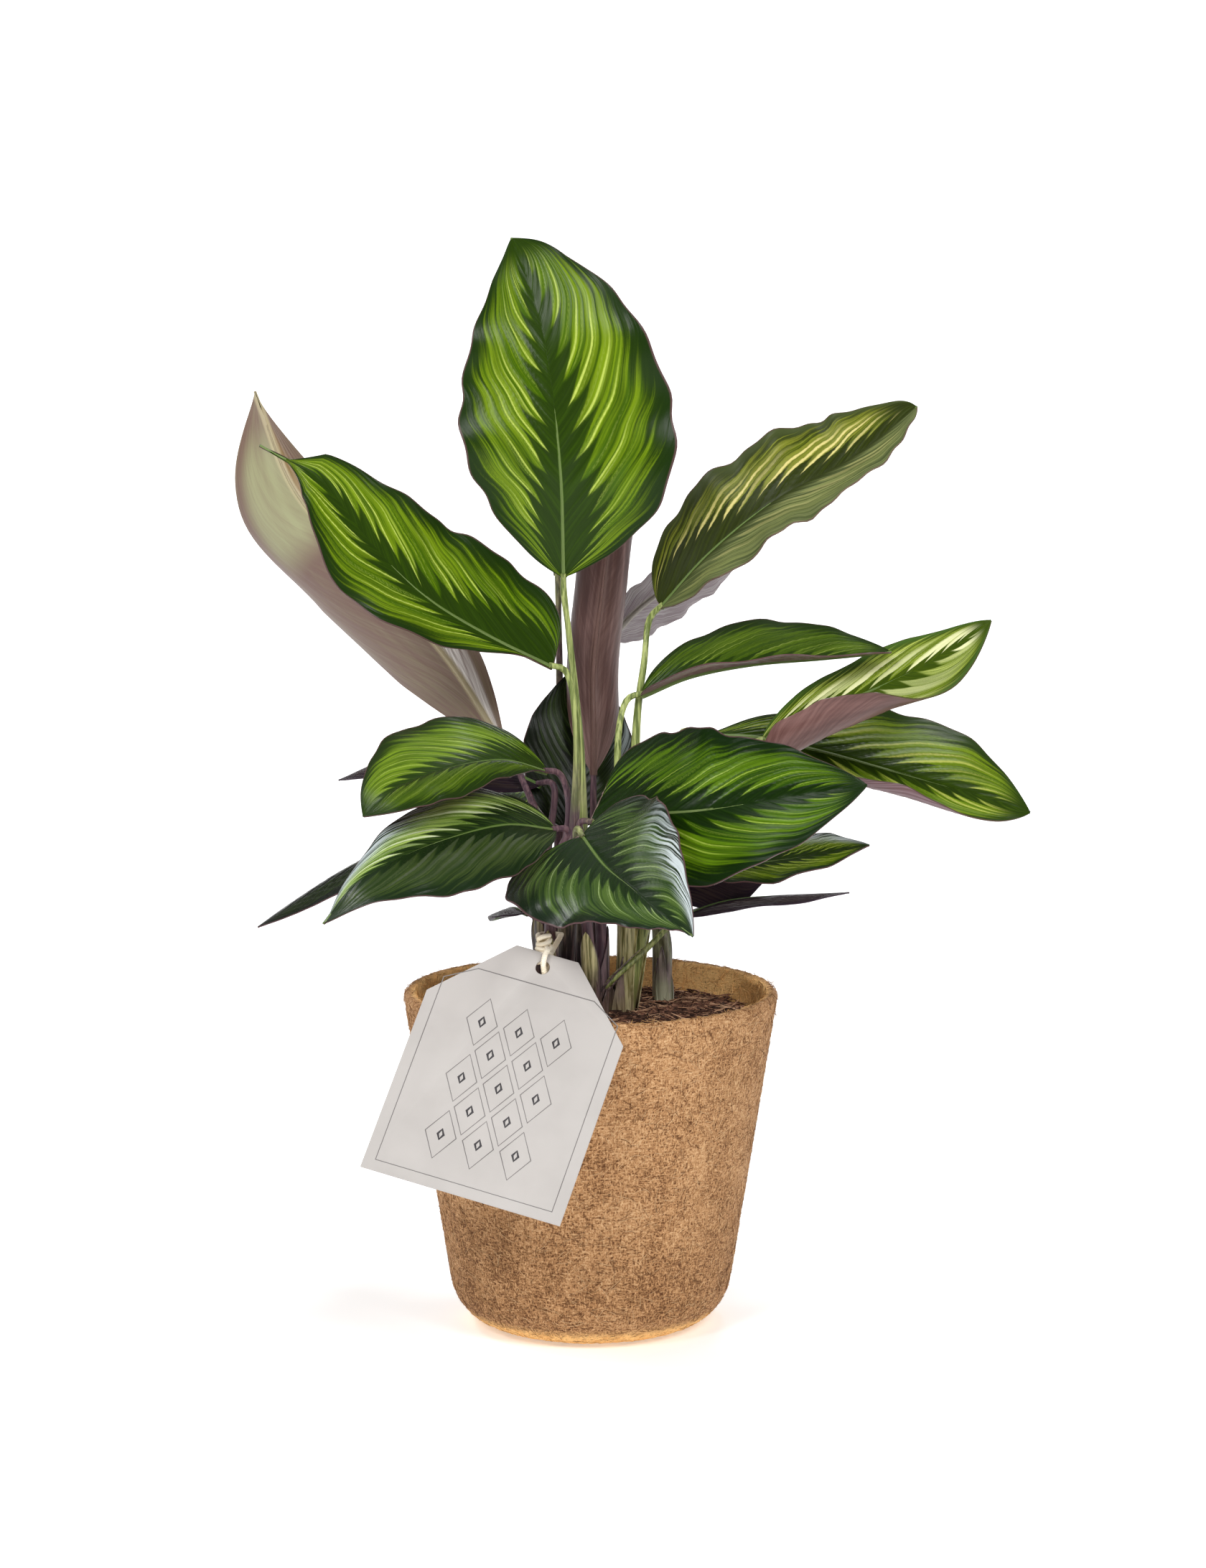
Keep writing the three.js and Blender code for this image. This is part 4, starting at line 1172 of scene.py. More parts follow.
@dataclass
class Soil:
    """Coir and peat root ball with a crumbly top and loose strands."""

    edge: float = 114.0  # height by the wall
    crown: float = 4.0  # how much higher the middle is
    lump: float = 0.9
    radius: float = 63.0  # of the surface
    strands: int = 3600
    crumbs: int = 1900
    seed: int = 21

    def height(self, x: np.ndarray, y: np.ndarray) -> np.ndarray:
        """Height of the surface over a place in the pot."""
        lumps = np.sin(0.31 * x + 1.3) * np.cos(0.27 * y + 0.4) + 0.6 * np.sin(0.55 * x - 0.42 * y)
        return self.edge + self.crown * (1 - (x**2 + y**2) / RIM_RADIUS**2) + self.lump * lumps

    def ball(self, pot: Pot) -> bpy.types.Object:
        """The root ball with its lumpy top."""
        side = pot.profile(pot.wall + 0.3, self.edge)
        rings = np.linspace(side[-1, 0], 0, 42)[1:]
        top = np.column_stack([rings, np.full(len(rings), self.edge + 1)])
        piece = pot.turned("root_ball", np.vstack([side, top]))
        points = points_of(piece)
        upper = points[:, 2] > self.edge + 0.5
        points[upper, 2] = self.height(points[upper, 0], points[upper, 1])
        move_points(piece, points)
        for scale, strength in ((0.005, 0.0026), (0.0016, 0.0012)):
            clouds = bpy.data.textures.new("crumbs", "CLOUDS")
            clouds.noise_scale = scale
            clouds.noise_depth = 2
            group = piece.vertex_groups.new(name="top")
            group.add(np.flatnonzero(upper).tolist(), 1.0, "REPLACE")
            apply(piece, "DISPLACE", texture=clouds, texture_coords="LOCAL", direction="Z",
                  strength=strength, mid_level=0.5, vertex_group="top")
            piece.vertex_groups.clear()
        smooth(piece, 70)
        dress(piece, SOIL_CRUST.material())
        return piece

    def spots(self, chance: np.random.Generator, count: int) -> np.ndarray:
        """Random places on the surface."""
        reach = self.radius * np.sqrt(chance.random(count))
        angle = chance.random(count) * 2 * math.pi
        x, y = reach * np.cos(angle), reach * np.sin(angle)
        return np.column_stack([x, y, self.height(x, y)])

    def litter(self, chance: np.random.Generator) -> bpy.types.Object:
        """Loose strands that lie on the surface, kept clear of the wall."""
        model = strand()
        base = points_of(model) * MM
        count = self.strands
        place = self.spots(chance, count)
        turn, tilt = chance.random(count) * math.pi, chance.normal(0, 0.16, count)
        length, radius = chance.uniform(2.5, 11, count), chance.uniform(0.14, 0.34, count)
        bow = chance.normal(0, 0.35, count)
        x = base[:, 0] * length[:, None]
        y = base[:, 1] * radius[:, None] + (bow * length)[:, None] * (0.25 - base[:, 0] ** 2)
        z = base[:, 2] * radius[:, None] + chance.uniform(0.1, 1.3, count)[:, None]
        spots = np.stack([
            place[:, :1] + x * np.cos(turn)[:, None] - y * np.sin(turn)[:, None],
            place[:, 1:2] + x * np.sin(turn)[:, None] + y * np.cos(turn)[:, None],
            place[:, 2:] + z + x * tilt[:, None],
        ], axis=-1)
        reach = np.linalg.norm(spots[..., :2], axis=-1, keepdims=True)
        spots[..., :2] *= np.minimum(1, (self.radius + 0.3) / np.maximum(reach, 1e-6))
        return scatter("soil_strands", model, spots, chance.random(count) ** 1.5)

    def rubble(self, chance: np.random.Generator) -> bpy.types.Object:
        """Crumbs of peat on the surface."""
        model = crumb()
        base = points_of(model) * MM
        count = self.crumbs
        place = self.spots(chance, count)
        size, turn = chance.uniform(0.4, 1.5, count), chance.random(count) * 2 * math.pi
        x = (base[:, 0] * np.cos(turn)[:, None] - base[:, 1] * np.sin(turn)[:, None]) * size[:, None]
        y = (base[:, 0] * np.sin(turn)[:, None] + base[:, 1] * np.cos(turn)[:, None]) * size[:, None]
        z = base[:, 2] * size[:, None] + 0.4
        spots = place[:, None, :] + np.stack([x, y, z], axis=-1)
        return scatter("soil_crumbs", model, spots, chance.random(count) ** 2 * 0.7)

    def build(self, pot: Pot) -> None:
        """Models the root ball and what lies on it and hands them over."""
        ball = self.ball(pot)
        chance = np.random.default_rng(self.seed)
        loose = [self.litter(chance), self.rubble(chance)]
        hand_over(ball, "soil", "soil")
        for piece in loose:
            dress(piece, SOIL_STRAND.material())
            hand_over(piece, "soil")


# Shoots


@dataclass(frozen=True)
class Shoot:
    """A leafy shoot: slim stalks with clasping sheaths, bundled at the soil."""

    name: str
    foot: tuple[float, float]
    radius: float
    finish: StalkFinish = GREEN_STALK
    share: float = 1.0  # radius of the sheaths as a share of the shoot's
    tone: float = 0.0  # above nought greener, below it more mauve

    blade_radius: ClassVar[float] = 1.15  # of a stalk where it meets its blade
    sheath_end: ClassVar[float] = 0.9  # share of a stalk above which it no longer thins
    lead: ClassVar[float] = 7.0  # length over which a stalk runs straight into its blade
    tone_height: ClassVar[float] = 165.0  # height over the soil by which a stalk has changed its tone

    @property
    def slim(self) -> float:
        """Radius of the sheaths round the foot."""
        return self.radius * self.share

    def stalk_route(self, blade: Blade) -> Route:
        """The line of a stalk from the soil to its blade."""
        base = np.array(blade.midrib[0], float)
        along = Route(blade.midrib).along(np.zeros(1))[0]
        bends = np.atleast_2d(np.array(blade.stalk, float))
        foot = np.array([*self.foot, SOIL.edge])
        outward = (bends[0] - foot) * (1, 1, 0)
        reach = np.linalg.norm(outward)
        outward = outward * min(1.0, (self.radius - min(self.radius, blade.foot) - 0.4) / max(reach, 1e-9))
        return Route(np.vstack([foot + outward, bends, base - along * self.lead, base + along * 1.5]))

    def thickness(self, blade: Blade, t: np.ndarray) -> np.ndarray:
        """Radius of a stalk at shares of its length."""
        return self.blade_radius + (blade.foot - self.blade_radius) * np.maximum(0, 1 - t / self.sheath_end)

    def stalk(self, blade: Blade) -> bpy.types.Object:
        """A stalk that thickens to the sheath below and has a slight swelling under the blade."""
        route = self.stalk_route(blade)
        t = np.linspace(0, 1, 60)
        radii = self.thickness(blade, t)
        radii = radii * (0.94 + 0.02 * np.sin(t * 31 + self.radius))
        radii = radii + 0.2 * np.exp(-((((1 - t) * route.length - 9) / 5) ** 2))
        piece = tube(blade.name + "_stalk", self.eased(route, t), radii, 3)
        smooth(piece, 80)
        height = (points_of(piece)[:, 2] - SOIL.edge) / self.tone_height
        tone = 0.6 - 0.6 * height if blade.rolled else 0.3 + 0.9 * height
        own = 0.15 * math.sin(9 * self.radius + 3 * blade.midrib[0][0])
        write_trait(piece, "tone", tone + self.tone - blade.blush + own)
        return piece

    @staticmethod
    def eased(route: Route, t: np.ndarray) -> np.ndarray:
        """The route with its bends rounded off over about a centimetre."""
        fine = route.at(np.linspace(0, 1, 241))
        reach = max(1, int(120 * 9 / route.length))
        kernel = np.hanning(2 * reach + 3)[1:-1]
        padded = np.vstack([2 * fine[0] - fine[reach:0:-1], fine, 2 * fine[-1] - fine[-2:-reach - 2:-1]])
        kernel = kernel / kernel.sum()
        soft = np.stack([np.convolve(padded[:, k], kernel, "valid") for k in range(3)], axis=-1)
        return np.stack([np.interp(t, np.linspace(0, 1, 241), soft[:, k]) for k in range(3)], axis=-1)

    def sheath(self, blade: Blade, turn: float) -> bpy.types.Object:
        """The wing that clasps the lower part of a stalk and runs out to nothing above."""
        route = self.stalk_route(blade)
        piece, s, share = sheet(blade.name + "_sheath", 14, 26)
        t = share * 0.44
        opening = np.radians(165) * (1 - share**2) ** 0.6 * (1 - 0.25 * share)
        radius = self.thickness(blade, t)
        radius = radius + 0.25 + 0.9 * np.abs(s) ** 3 * (1 - share) ** 0.5
        along = route.along(t)
        first = unit(np.cross(along, np.tile([0.0, 1.0, 0.0], (len(t), 1))))
        second = np.cross(along, first)
        angle = s * opening + turn
        round_it = first * np.cos(angle)[:, None] + second * np.sin(angle)[:, None]
        move_points(piece, route.at(t) + round_it * radius[:, None])
        tone = 0.3 + 0.8 * share - 0.5 * np.abs(s) ** 4 + 0.25 * math.sin(5 * turn)
        write_trait(piece, "tone", self.tone + tone)
        apply(piece, "SOLIDIFY", thickness=0.35 * MM, offset=0)
        smooth(piece, 50)
        return piece

    def bract(self, turn: float, high: float, wide: float) -> bpy.types.Object:
        """A short pointed sheath round the shoot's foot.

        Args:
            turn: the way it faces, in radians round the shoot.
            high: its height over the soil.
            wide: half of its width, in degrees round the shoot.

        Returns:
            The sheath.
        """
        piece, s, share = sheet(f"{self.name}_bract", 12, 18)
        opening = np.radians(wide) * (1 - share**1.6) ** 0.7
        reach = self.slim * (0.98 - 0.34 * share) + 0.5 * np.abs(s) ** 3
        angle = turn + s * opening
        x, y = self.foot[0] + reach * np.cos(angle), self.foot[1] + reach * np.sin(angle)
        z = SOIL.edge - 3 + share * (high + 7)
        move_points(piece, np.column_stack([x, y, z]))
        tone = 0.5 + 0.35 * math.sin(3 * turn + self.radius) - 0.4 * share
        write_trait(piece, "tone", self.tone + tone)
        apply(piece, "SOLIDIFY", thickness=0.4 * MM, offset=0)
        smooth(piece, 50)
        return piece

    def heart(self) -> bpy.types.Object:
        """The solid middle of the shoot's foot."""
        t = np.linspace(0, 1, 12)
        low, high = SOIL.edge - 14, SOIL.edge + 12
        x, y = self.foot
        line = np.column_stack([np.full(12, x), np.full(12, y), low + (high - low) * t])
        radii = self.slim * (0.9 - 0.45 * np.maximum(0, 2 * t - 1) ** 1.5)
        piece = tube(self.name + "_heart", line, radii, 4)
        smooth(piece, 80)
        write_trait(piece, "tone", np.zeros(len(piece.data.vertices)))
        return piece

    def build(self, blades: list[Blade]) -> None:
        """Models the shoot that carries some blades and hands it over."""
        stalks, sheaths = [], []
        for number, blade in enumerate(blades):
            stalks.append(self.stalk(blade))
            sheaths.append(self.sheath(blade, 1.3 + 2.1 * number))
        heart = self.heart()
        for number in range(3):
            turn = 0.7 + 2.1 * number + self.radius
            sheaths.append(self.bract(turn, 11 + 5 * number, 105 - 12 * number))
        green = self.finish is GREEN_STALK
        for piece in stalks:
            dress(piece, self.finish.material())
        for piece in [*sheaths, heart]:
            dress(piece, (SHEATH_STALK if green else self.finish).material())
        whole = fuse("stalks_" + self.name, [*stalks, *sheaths, heart])
        hand_over(whole, "stalk" if green else "stalk_purple", "shoot_" + self.name)


# Gift tag


@dataclass
class Tag:
    """Card with clipped upper corners, a hole and a plain printed pattern."""

    width: float = 74.5
    height: float = 95.0
    shoulder: float = 79.5
    top_width: float = 23.5
    thickness: float = 0.8
    hole_radius: float = 2.6
    hole_drop: float = 5.5  # of its middle below the top edge
    hole: Point = (-17.0, -57.0, 144.8)
    turn: float = -6.0  # degrees round the plant
    lean: float = 32.0  # degrees back from upright
    roll: float = 15.5  # degrees in its own plane
    edge_round: float = 0.14
    border: tuple[tuple[float, float], ...] = (
        (-33, -85.5), (33, -85.5), (33, -13.5), (22, -7), (-22, -7), (-33, -13.5))
    rows: int = 5
    top_row: float = -26.0
    pitch: tuple[float, float] = (14.0, 11.0)  # between lozenges in a row, and between rows
    lozenge: tuple[float, float] = (5.8, 9.2)  # half-width and half-height
    mark: tuple[float, float] = (1.1, 1.9)

    def matrix(self) -> Matrix:
        """From the card's own plane, with the hole in the middle, to the plant."""
        turns = ((self.turn, "Z"), (90 - self.lean, "X"), (-self.roll, "Z"))
        first, second, third = (Matrix.Rotation(math.radians(angle), 4, axis) for angle, axis in turns)
        return Matrix.Translation(Vector(self.hole) * MM) @ (first @ second @ third)

    def card(self) -> bpy.types.Object:
        """The card: a slab with two corners cut off, a hole punched and its edges eased."""
        deselect()
        middle = (0, (self.hole_drop - self.height / 2) * MM, 0)
        size = (self.width * MM, self.height * MM, self.thickness * MM)
        bpy.ops.mesh.primitive_cube_add(size=1, location=middle, scale=size)
        card = named("tag_card")
        bpy.ops.object.transform_apply(location=True, rotation=False, scale=True)
        bpy.ops.object.mode_set(mode="EDIT")
        run = (self.width - self.top_width) / 2
        drop = self.height - self.shoulder
        for side in (-1, 1):
            bpy.ops.mesh.select_all(action="SELECT")
            bpy.ops.mesh.bisect(plane_co=(side * self.top_width / 2 * MM, self.hole_drop * MM, 0),
                                plane_no=(side * drop, run, 0), use_fill=True, clear_outer=True)
        bpy.ops.object.mode_set(mode="OBJECT")
        deselect()
        bpy.ops.mesh.primitive_cylinder_add(vertices=40, radius=self.hole_radius * MM, depth=0.01)
        punch = named("punch")
        apply(card, "BOOLEAN", operation="DIFFERENCE", object=punch, solver="EXACT")
        bpy.data.objects.remove(punch)
        apply(card, "BEVEL", width=self.edge_round * MM, segments=2, limit_method="ANGLE",
              angle_limit=math.radians(40))
        smooth(card, 40)
        dress(card, CARD.material())
        return card

    def line(self, points: np.ndarray, weight: float) -> bpy.types.Object:
        """A closed printed line of some width, a hair proud of the card."""
        flat = np.column_stack([points, np.zeros(len(points))])
        piece = tube("ink_line", flat, np.full(len(flat), weight / 2), 0, closed=True)
        spots = points_of(piece)
        spots[:, 2] = self.thickness / 2 + 0.02 + spots[:, 2] * 0.12
        move_points(piece, spots)
        return piece

    def drawing(self) -> tuple[list[bpy.types.Object], list[bpy.types.Object]]:
        """Lozenges within a plain border, in fine lines, with a small heavy mark in each."""
        corners = np.array([(1, 0), (0, 1), (-1, 0), (0, -1)], float)
        fine, heavy = [self.line(np.array(self.border, float), 0.4)], []
        for row in range(self.rows):
            odd = row % 2
            for column in range(3 - odd):
                centre = (self.pitch[0] * (column - 1 + 0.5 * odd), self.top_row - self.pitch[1] * row)
                fine.append(self.line(corners * self.lozenge + centre, 0.4))
                heavy.append(self.line(corners * self.mark + centre, 0.9))
        return fine, heavy

    def build(self) -> None:
        """Models the card and its drawing, puts them in place and hands them over."""
        card = self.card()
        fine, heavy = self.drawing()
        for piece in fine:
            dress(piece, INK.material())
        for piece in heavy:
            dress(piece, DARK_INK.material())
        ink = fuse("tag_drawing", [*fine, *heavy])
        for piece in (card, ink):
            piece.data.transform(self.matrix())
        hand_over(card, "card", "gift_tag")
        hand_over(ink, "card")


@dataclass
class Twine:
    """Two twisted plies in a closed loop from the card's hole to a stem, with a knot near the hole."""

    turns: int = 84
    steps: int = 760
    ply_radius: float = 0.54
    ply_offset: float = 0.52  # from the middle of the twine to the middle of a ply
    by_tag: tuple[Point, ...] = (  # points by the hole, in the card's own plane
        (0.9, -0.6, -2.6), (0.3, 0, 0), (0, 1.6, 2.2), (-0.3, 4.6, 2.2), (-0.6, 7.4, 0.2))
    by_stem: tuple[Point, ...] = (
        (-17.5, -44, 150), (-19.2, -17, 149), (-18.6, -9.8, 148.5), (-15, -8.3, 148.5),
        (-11.4, -9.8, 148.5), (-11.2, -17, 149), (-14.5, -44, 147))
    knot_foot: Point = (-16.6, -53.5, 145.6)
    knot_wraps: int = 5
    knot_radii: tuple[float, float] = (3.1, 1.8)  # of its first and last wrap
    knot_cord: float = 0.95  # radius of the twine in it

    def plies(self, tag: Tag) -> list[bpy.types.Object]:
        """The two plies, which meet their own ends after whole turns."""
        placed = [tuple((tag.matrix() @ (Vector(spot) * MM)) / MM) for spot in self.by_tag]
        t = np.linspace(0, 1, self.steps, endpoint=False)
        middle = Route((*placed, *self.by_stem), closed=True).at(t)
        along = unit(np.roll(middle, -1, axis=0) - np.roll(middle, 1, axis=0))
        side = np.zeros_like(along)
        side[0] = np.cross(along[0], (0.0, 0.0, 1.0))
        for step in range(1, self.steps):
            side[step] = side[step - 1] - along[step] * np.dot(side[step - 1], along[step])
            side[step] /= np.linalg.norm(side[step])
        up = np.cross(along, side)
        slack = math.atan2(float(np.dot(side[-1], up[0])), float(np.dot(side[-1], side[0])))
        plies = []
        for ply in range(2):
            angle = t * (2 * math.pi * self.turns - slack) + ply * math.pi
            line = middle + self.ply_offset * (side * np.cos(angle)[:, None] + up * np.sin(angle)[:, None])
            plies.append(tube(f"ply_{ply}", line, np.full(self.steps, self.ply_radius), 1, closed=True))
        return plies

    def knot(self) -> bpy.types.Object:
        """Wraps round the loop that tighten as they climb."""
        turn = np.linspace(0, 2 * math.pi * self.knot_wraps, 110)
        wide, narrow = self.knot_radii
        swell = wide - (wide - narrow) * turn / turn[-1]
        x, y, z = self.knot_foot
        wrap = np.column_stack([x + swell * np.cos(turn), y + 0.7 * swell * np.sin(turn) + 0.16 * turn,
                                z + 0.3 * turn + 0.5 * np.sin(1.3 * turn)])
        return tube("knot", wrap, np.full(len(wrap), self.knot_cord), 1)

    def build(self, tag: Tag) -> None:
        """Models the loop and its knot and hands them over as one piece."""
        pieces = [*self.plies(tag), self.knot()]
        for piece in pieces:
            smooth(piece, 80)
            dress(piece, TWINE_FINISH.material())
        hand_over(fuse("twine_loop", pieces), "twine", "tag_twine")


# Studio


def aimed(name: str, data: bpy.types.ID, place: Point, aim: Point) -> bpy.types.Object:
    """Puts a lamp or camera in the scene, turned towards a point."""
    holder = bpy.data.objects.new(name, data)
    holder.location = Vector(place) * MM
    way = Vector(aim) * MM - holder.location
    holder.rotation_euler = way.to_track_quat("-Z", "Y").to_euler()
    bpy.context.scene.collection.objects.link(holder)
    return holder


@dataclass(frozen=True)
class Lamp:
    """Soft square lamp."""

    name: str
    place: Point
    size: float  # in metres
    power: float  # in watts
    aim: Point = (0, 0, 220)

    def build(self) -> None:
        """Lights the lamp."""
        light = bpy.data.lights.new(self.name, "AREA")
        light.shape = "SQUARE"
        light.size = self.size
        light.energy = self.power
        aimed(self.name, light, self.place, self.aim)


@dataclass(frozen=True)
class GlowFinish:
    """White floor lit evenly from within, as a light table is."""

    name: str
    colour: Colour
    glow: float

    def material(self) -> bpy.types.Material:
        """Matt white with a faint glow of its own."""
        shader = Shader(self.name)
        return shader.finish(Base_Color=self.colour, Roughness=0.9, Emission_Color=(1.0, 1.0, 1.0, 1.0),
                             Emission_Strength=self.glow)


@dataclass
class Studio:
    """Pale floor that curves up behind the plant, soft lamps and the camera."""

    lamps: tuple[Lamp, ...] = (
        Lamp("right_front", (584, -1146, 993), 0.5, 12.4),
        Lamp("left_front", (-584, -1098, 1059), 0.4, 8.6),
        Lamp("left_low", (-1308, 375, 826), 0.3, 1.3),
        Lamp("left_high", (-922, 282, 1369), 0.25, 4.5),
        Lamp("overhead", (279, 483, 1601), 0.28, 7.0),
        Lamp("backdrop", (0, 1500, 1700), 1.5, 30.0, (0, 3000, 600)),
    )
    surround: float = 0.25  # strength of the even light from all round
    eye: Point = (4.6, -1400.0, 395.0)
    target: Point = (4.6, 0.0, 203.5)
    lens: float = 87.45
    floor_width: float = 8000.0
    floor_front: float = -3000.0
    floor_flat_to: float = 2200.0
    floor_bend: float = 760.0  # radius of the sweep up to the backdrop
    floor_drop: float = 0.2  # just under the pot

    def floor(self) -> None:
        """The floor and backdrop in one sweep."""
        deselect()
        bpy.ops.mesh.primitive_grid_add(x_subdivisions=8, y_subdivisions=60, size=2)
        floor = named("studio_floor")
        points = points_of(floor) * MM
        away = self.floor_front + (points[:, 1] + 1) * 3500
        angle = np.clip((away - self.floor_flat_to) / 1200, 0, 1) * math.pi / 2
        x = points[:, 0] * self.floor_width / 2
        y = np.minimum(away, self.floor_flat_to) + self.floor_bend * np.sin(angle)
        z = self.floor_bend * (1 - np.cos(angle)) + np.maximum(away - self.floor_flat_to - 1200, 0) * 1.1
        move_points(floor, np.column_stack([x, y, z - self.floor_drop]))
        smooth(floor, 80)
        dress(floor, GlowFinish("pale_floor", paint(250, 250, 250), 0.3).material())

    def build(self) -> None:
        """Sets up floor, lamps, surround and camera."""
        self.floor()
        for lamp in self.lamps:
            lamp.build()
        scene = bpy.context.scene
        scene.world = bpy.data.worlds.new("studio")
        scene.world.use_nodes = True
        background = scene.world.node_tree.nodes["Background"]
        background.inputs["Color"].default_value = (1, 1, 1, 1)
        background.inputs["Strength"].default_value = self.surround
        scene.view_settings.view_transform = "Standard"
        camera = bpy.data.cameras.new("camera")
        camera.lens = self.lens
        camera.sensor_width = 36.0
        camera.clip_end = 50.0
        scene.camera = aimed("camera", camera, self.eye, self.target)


# The plant

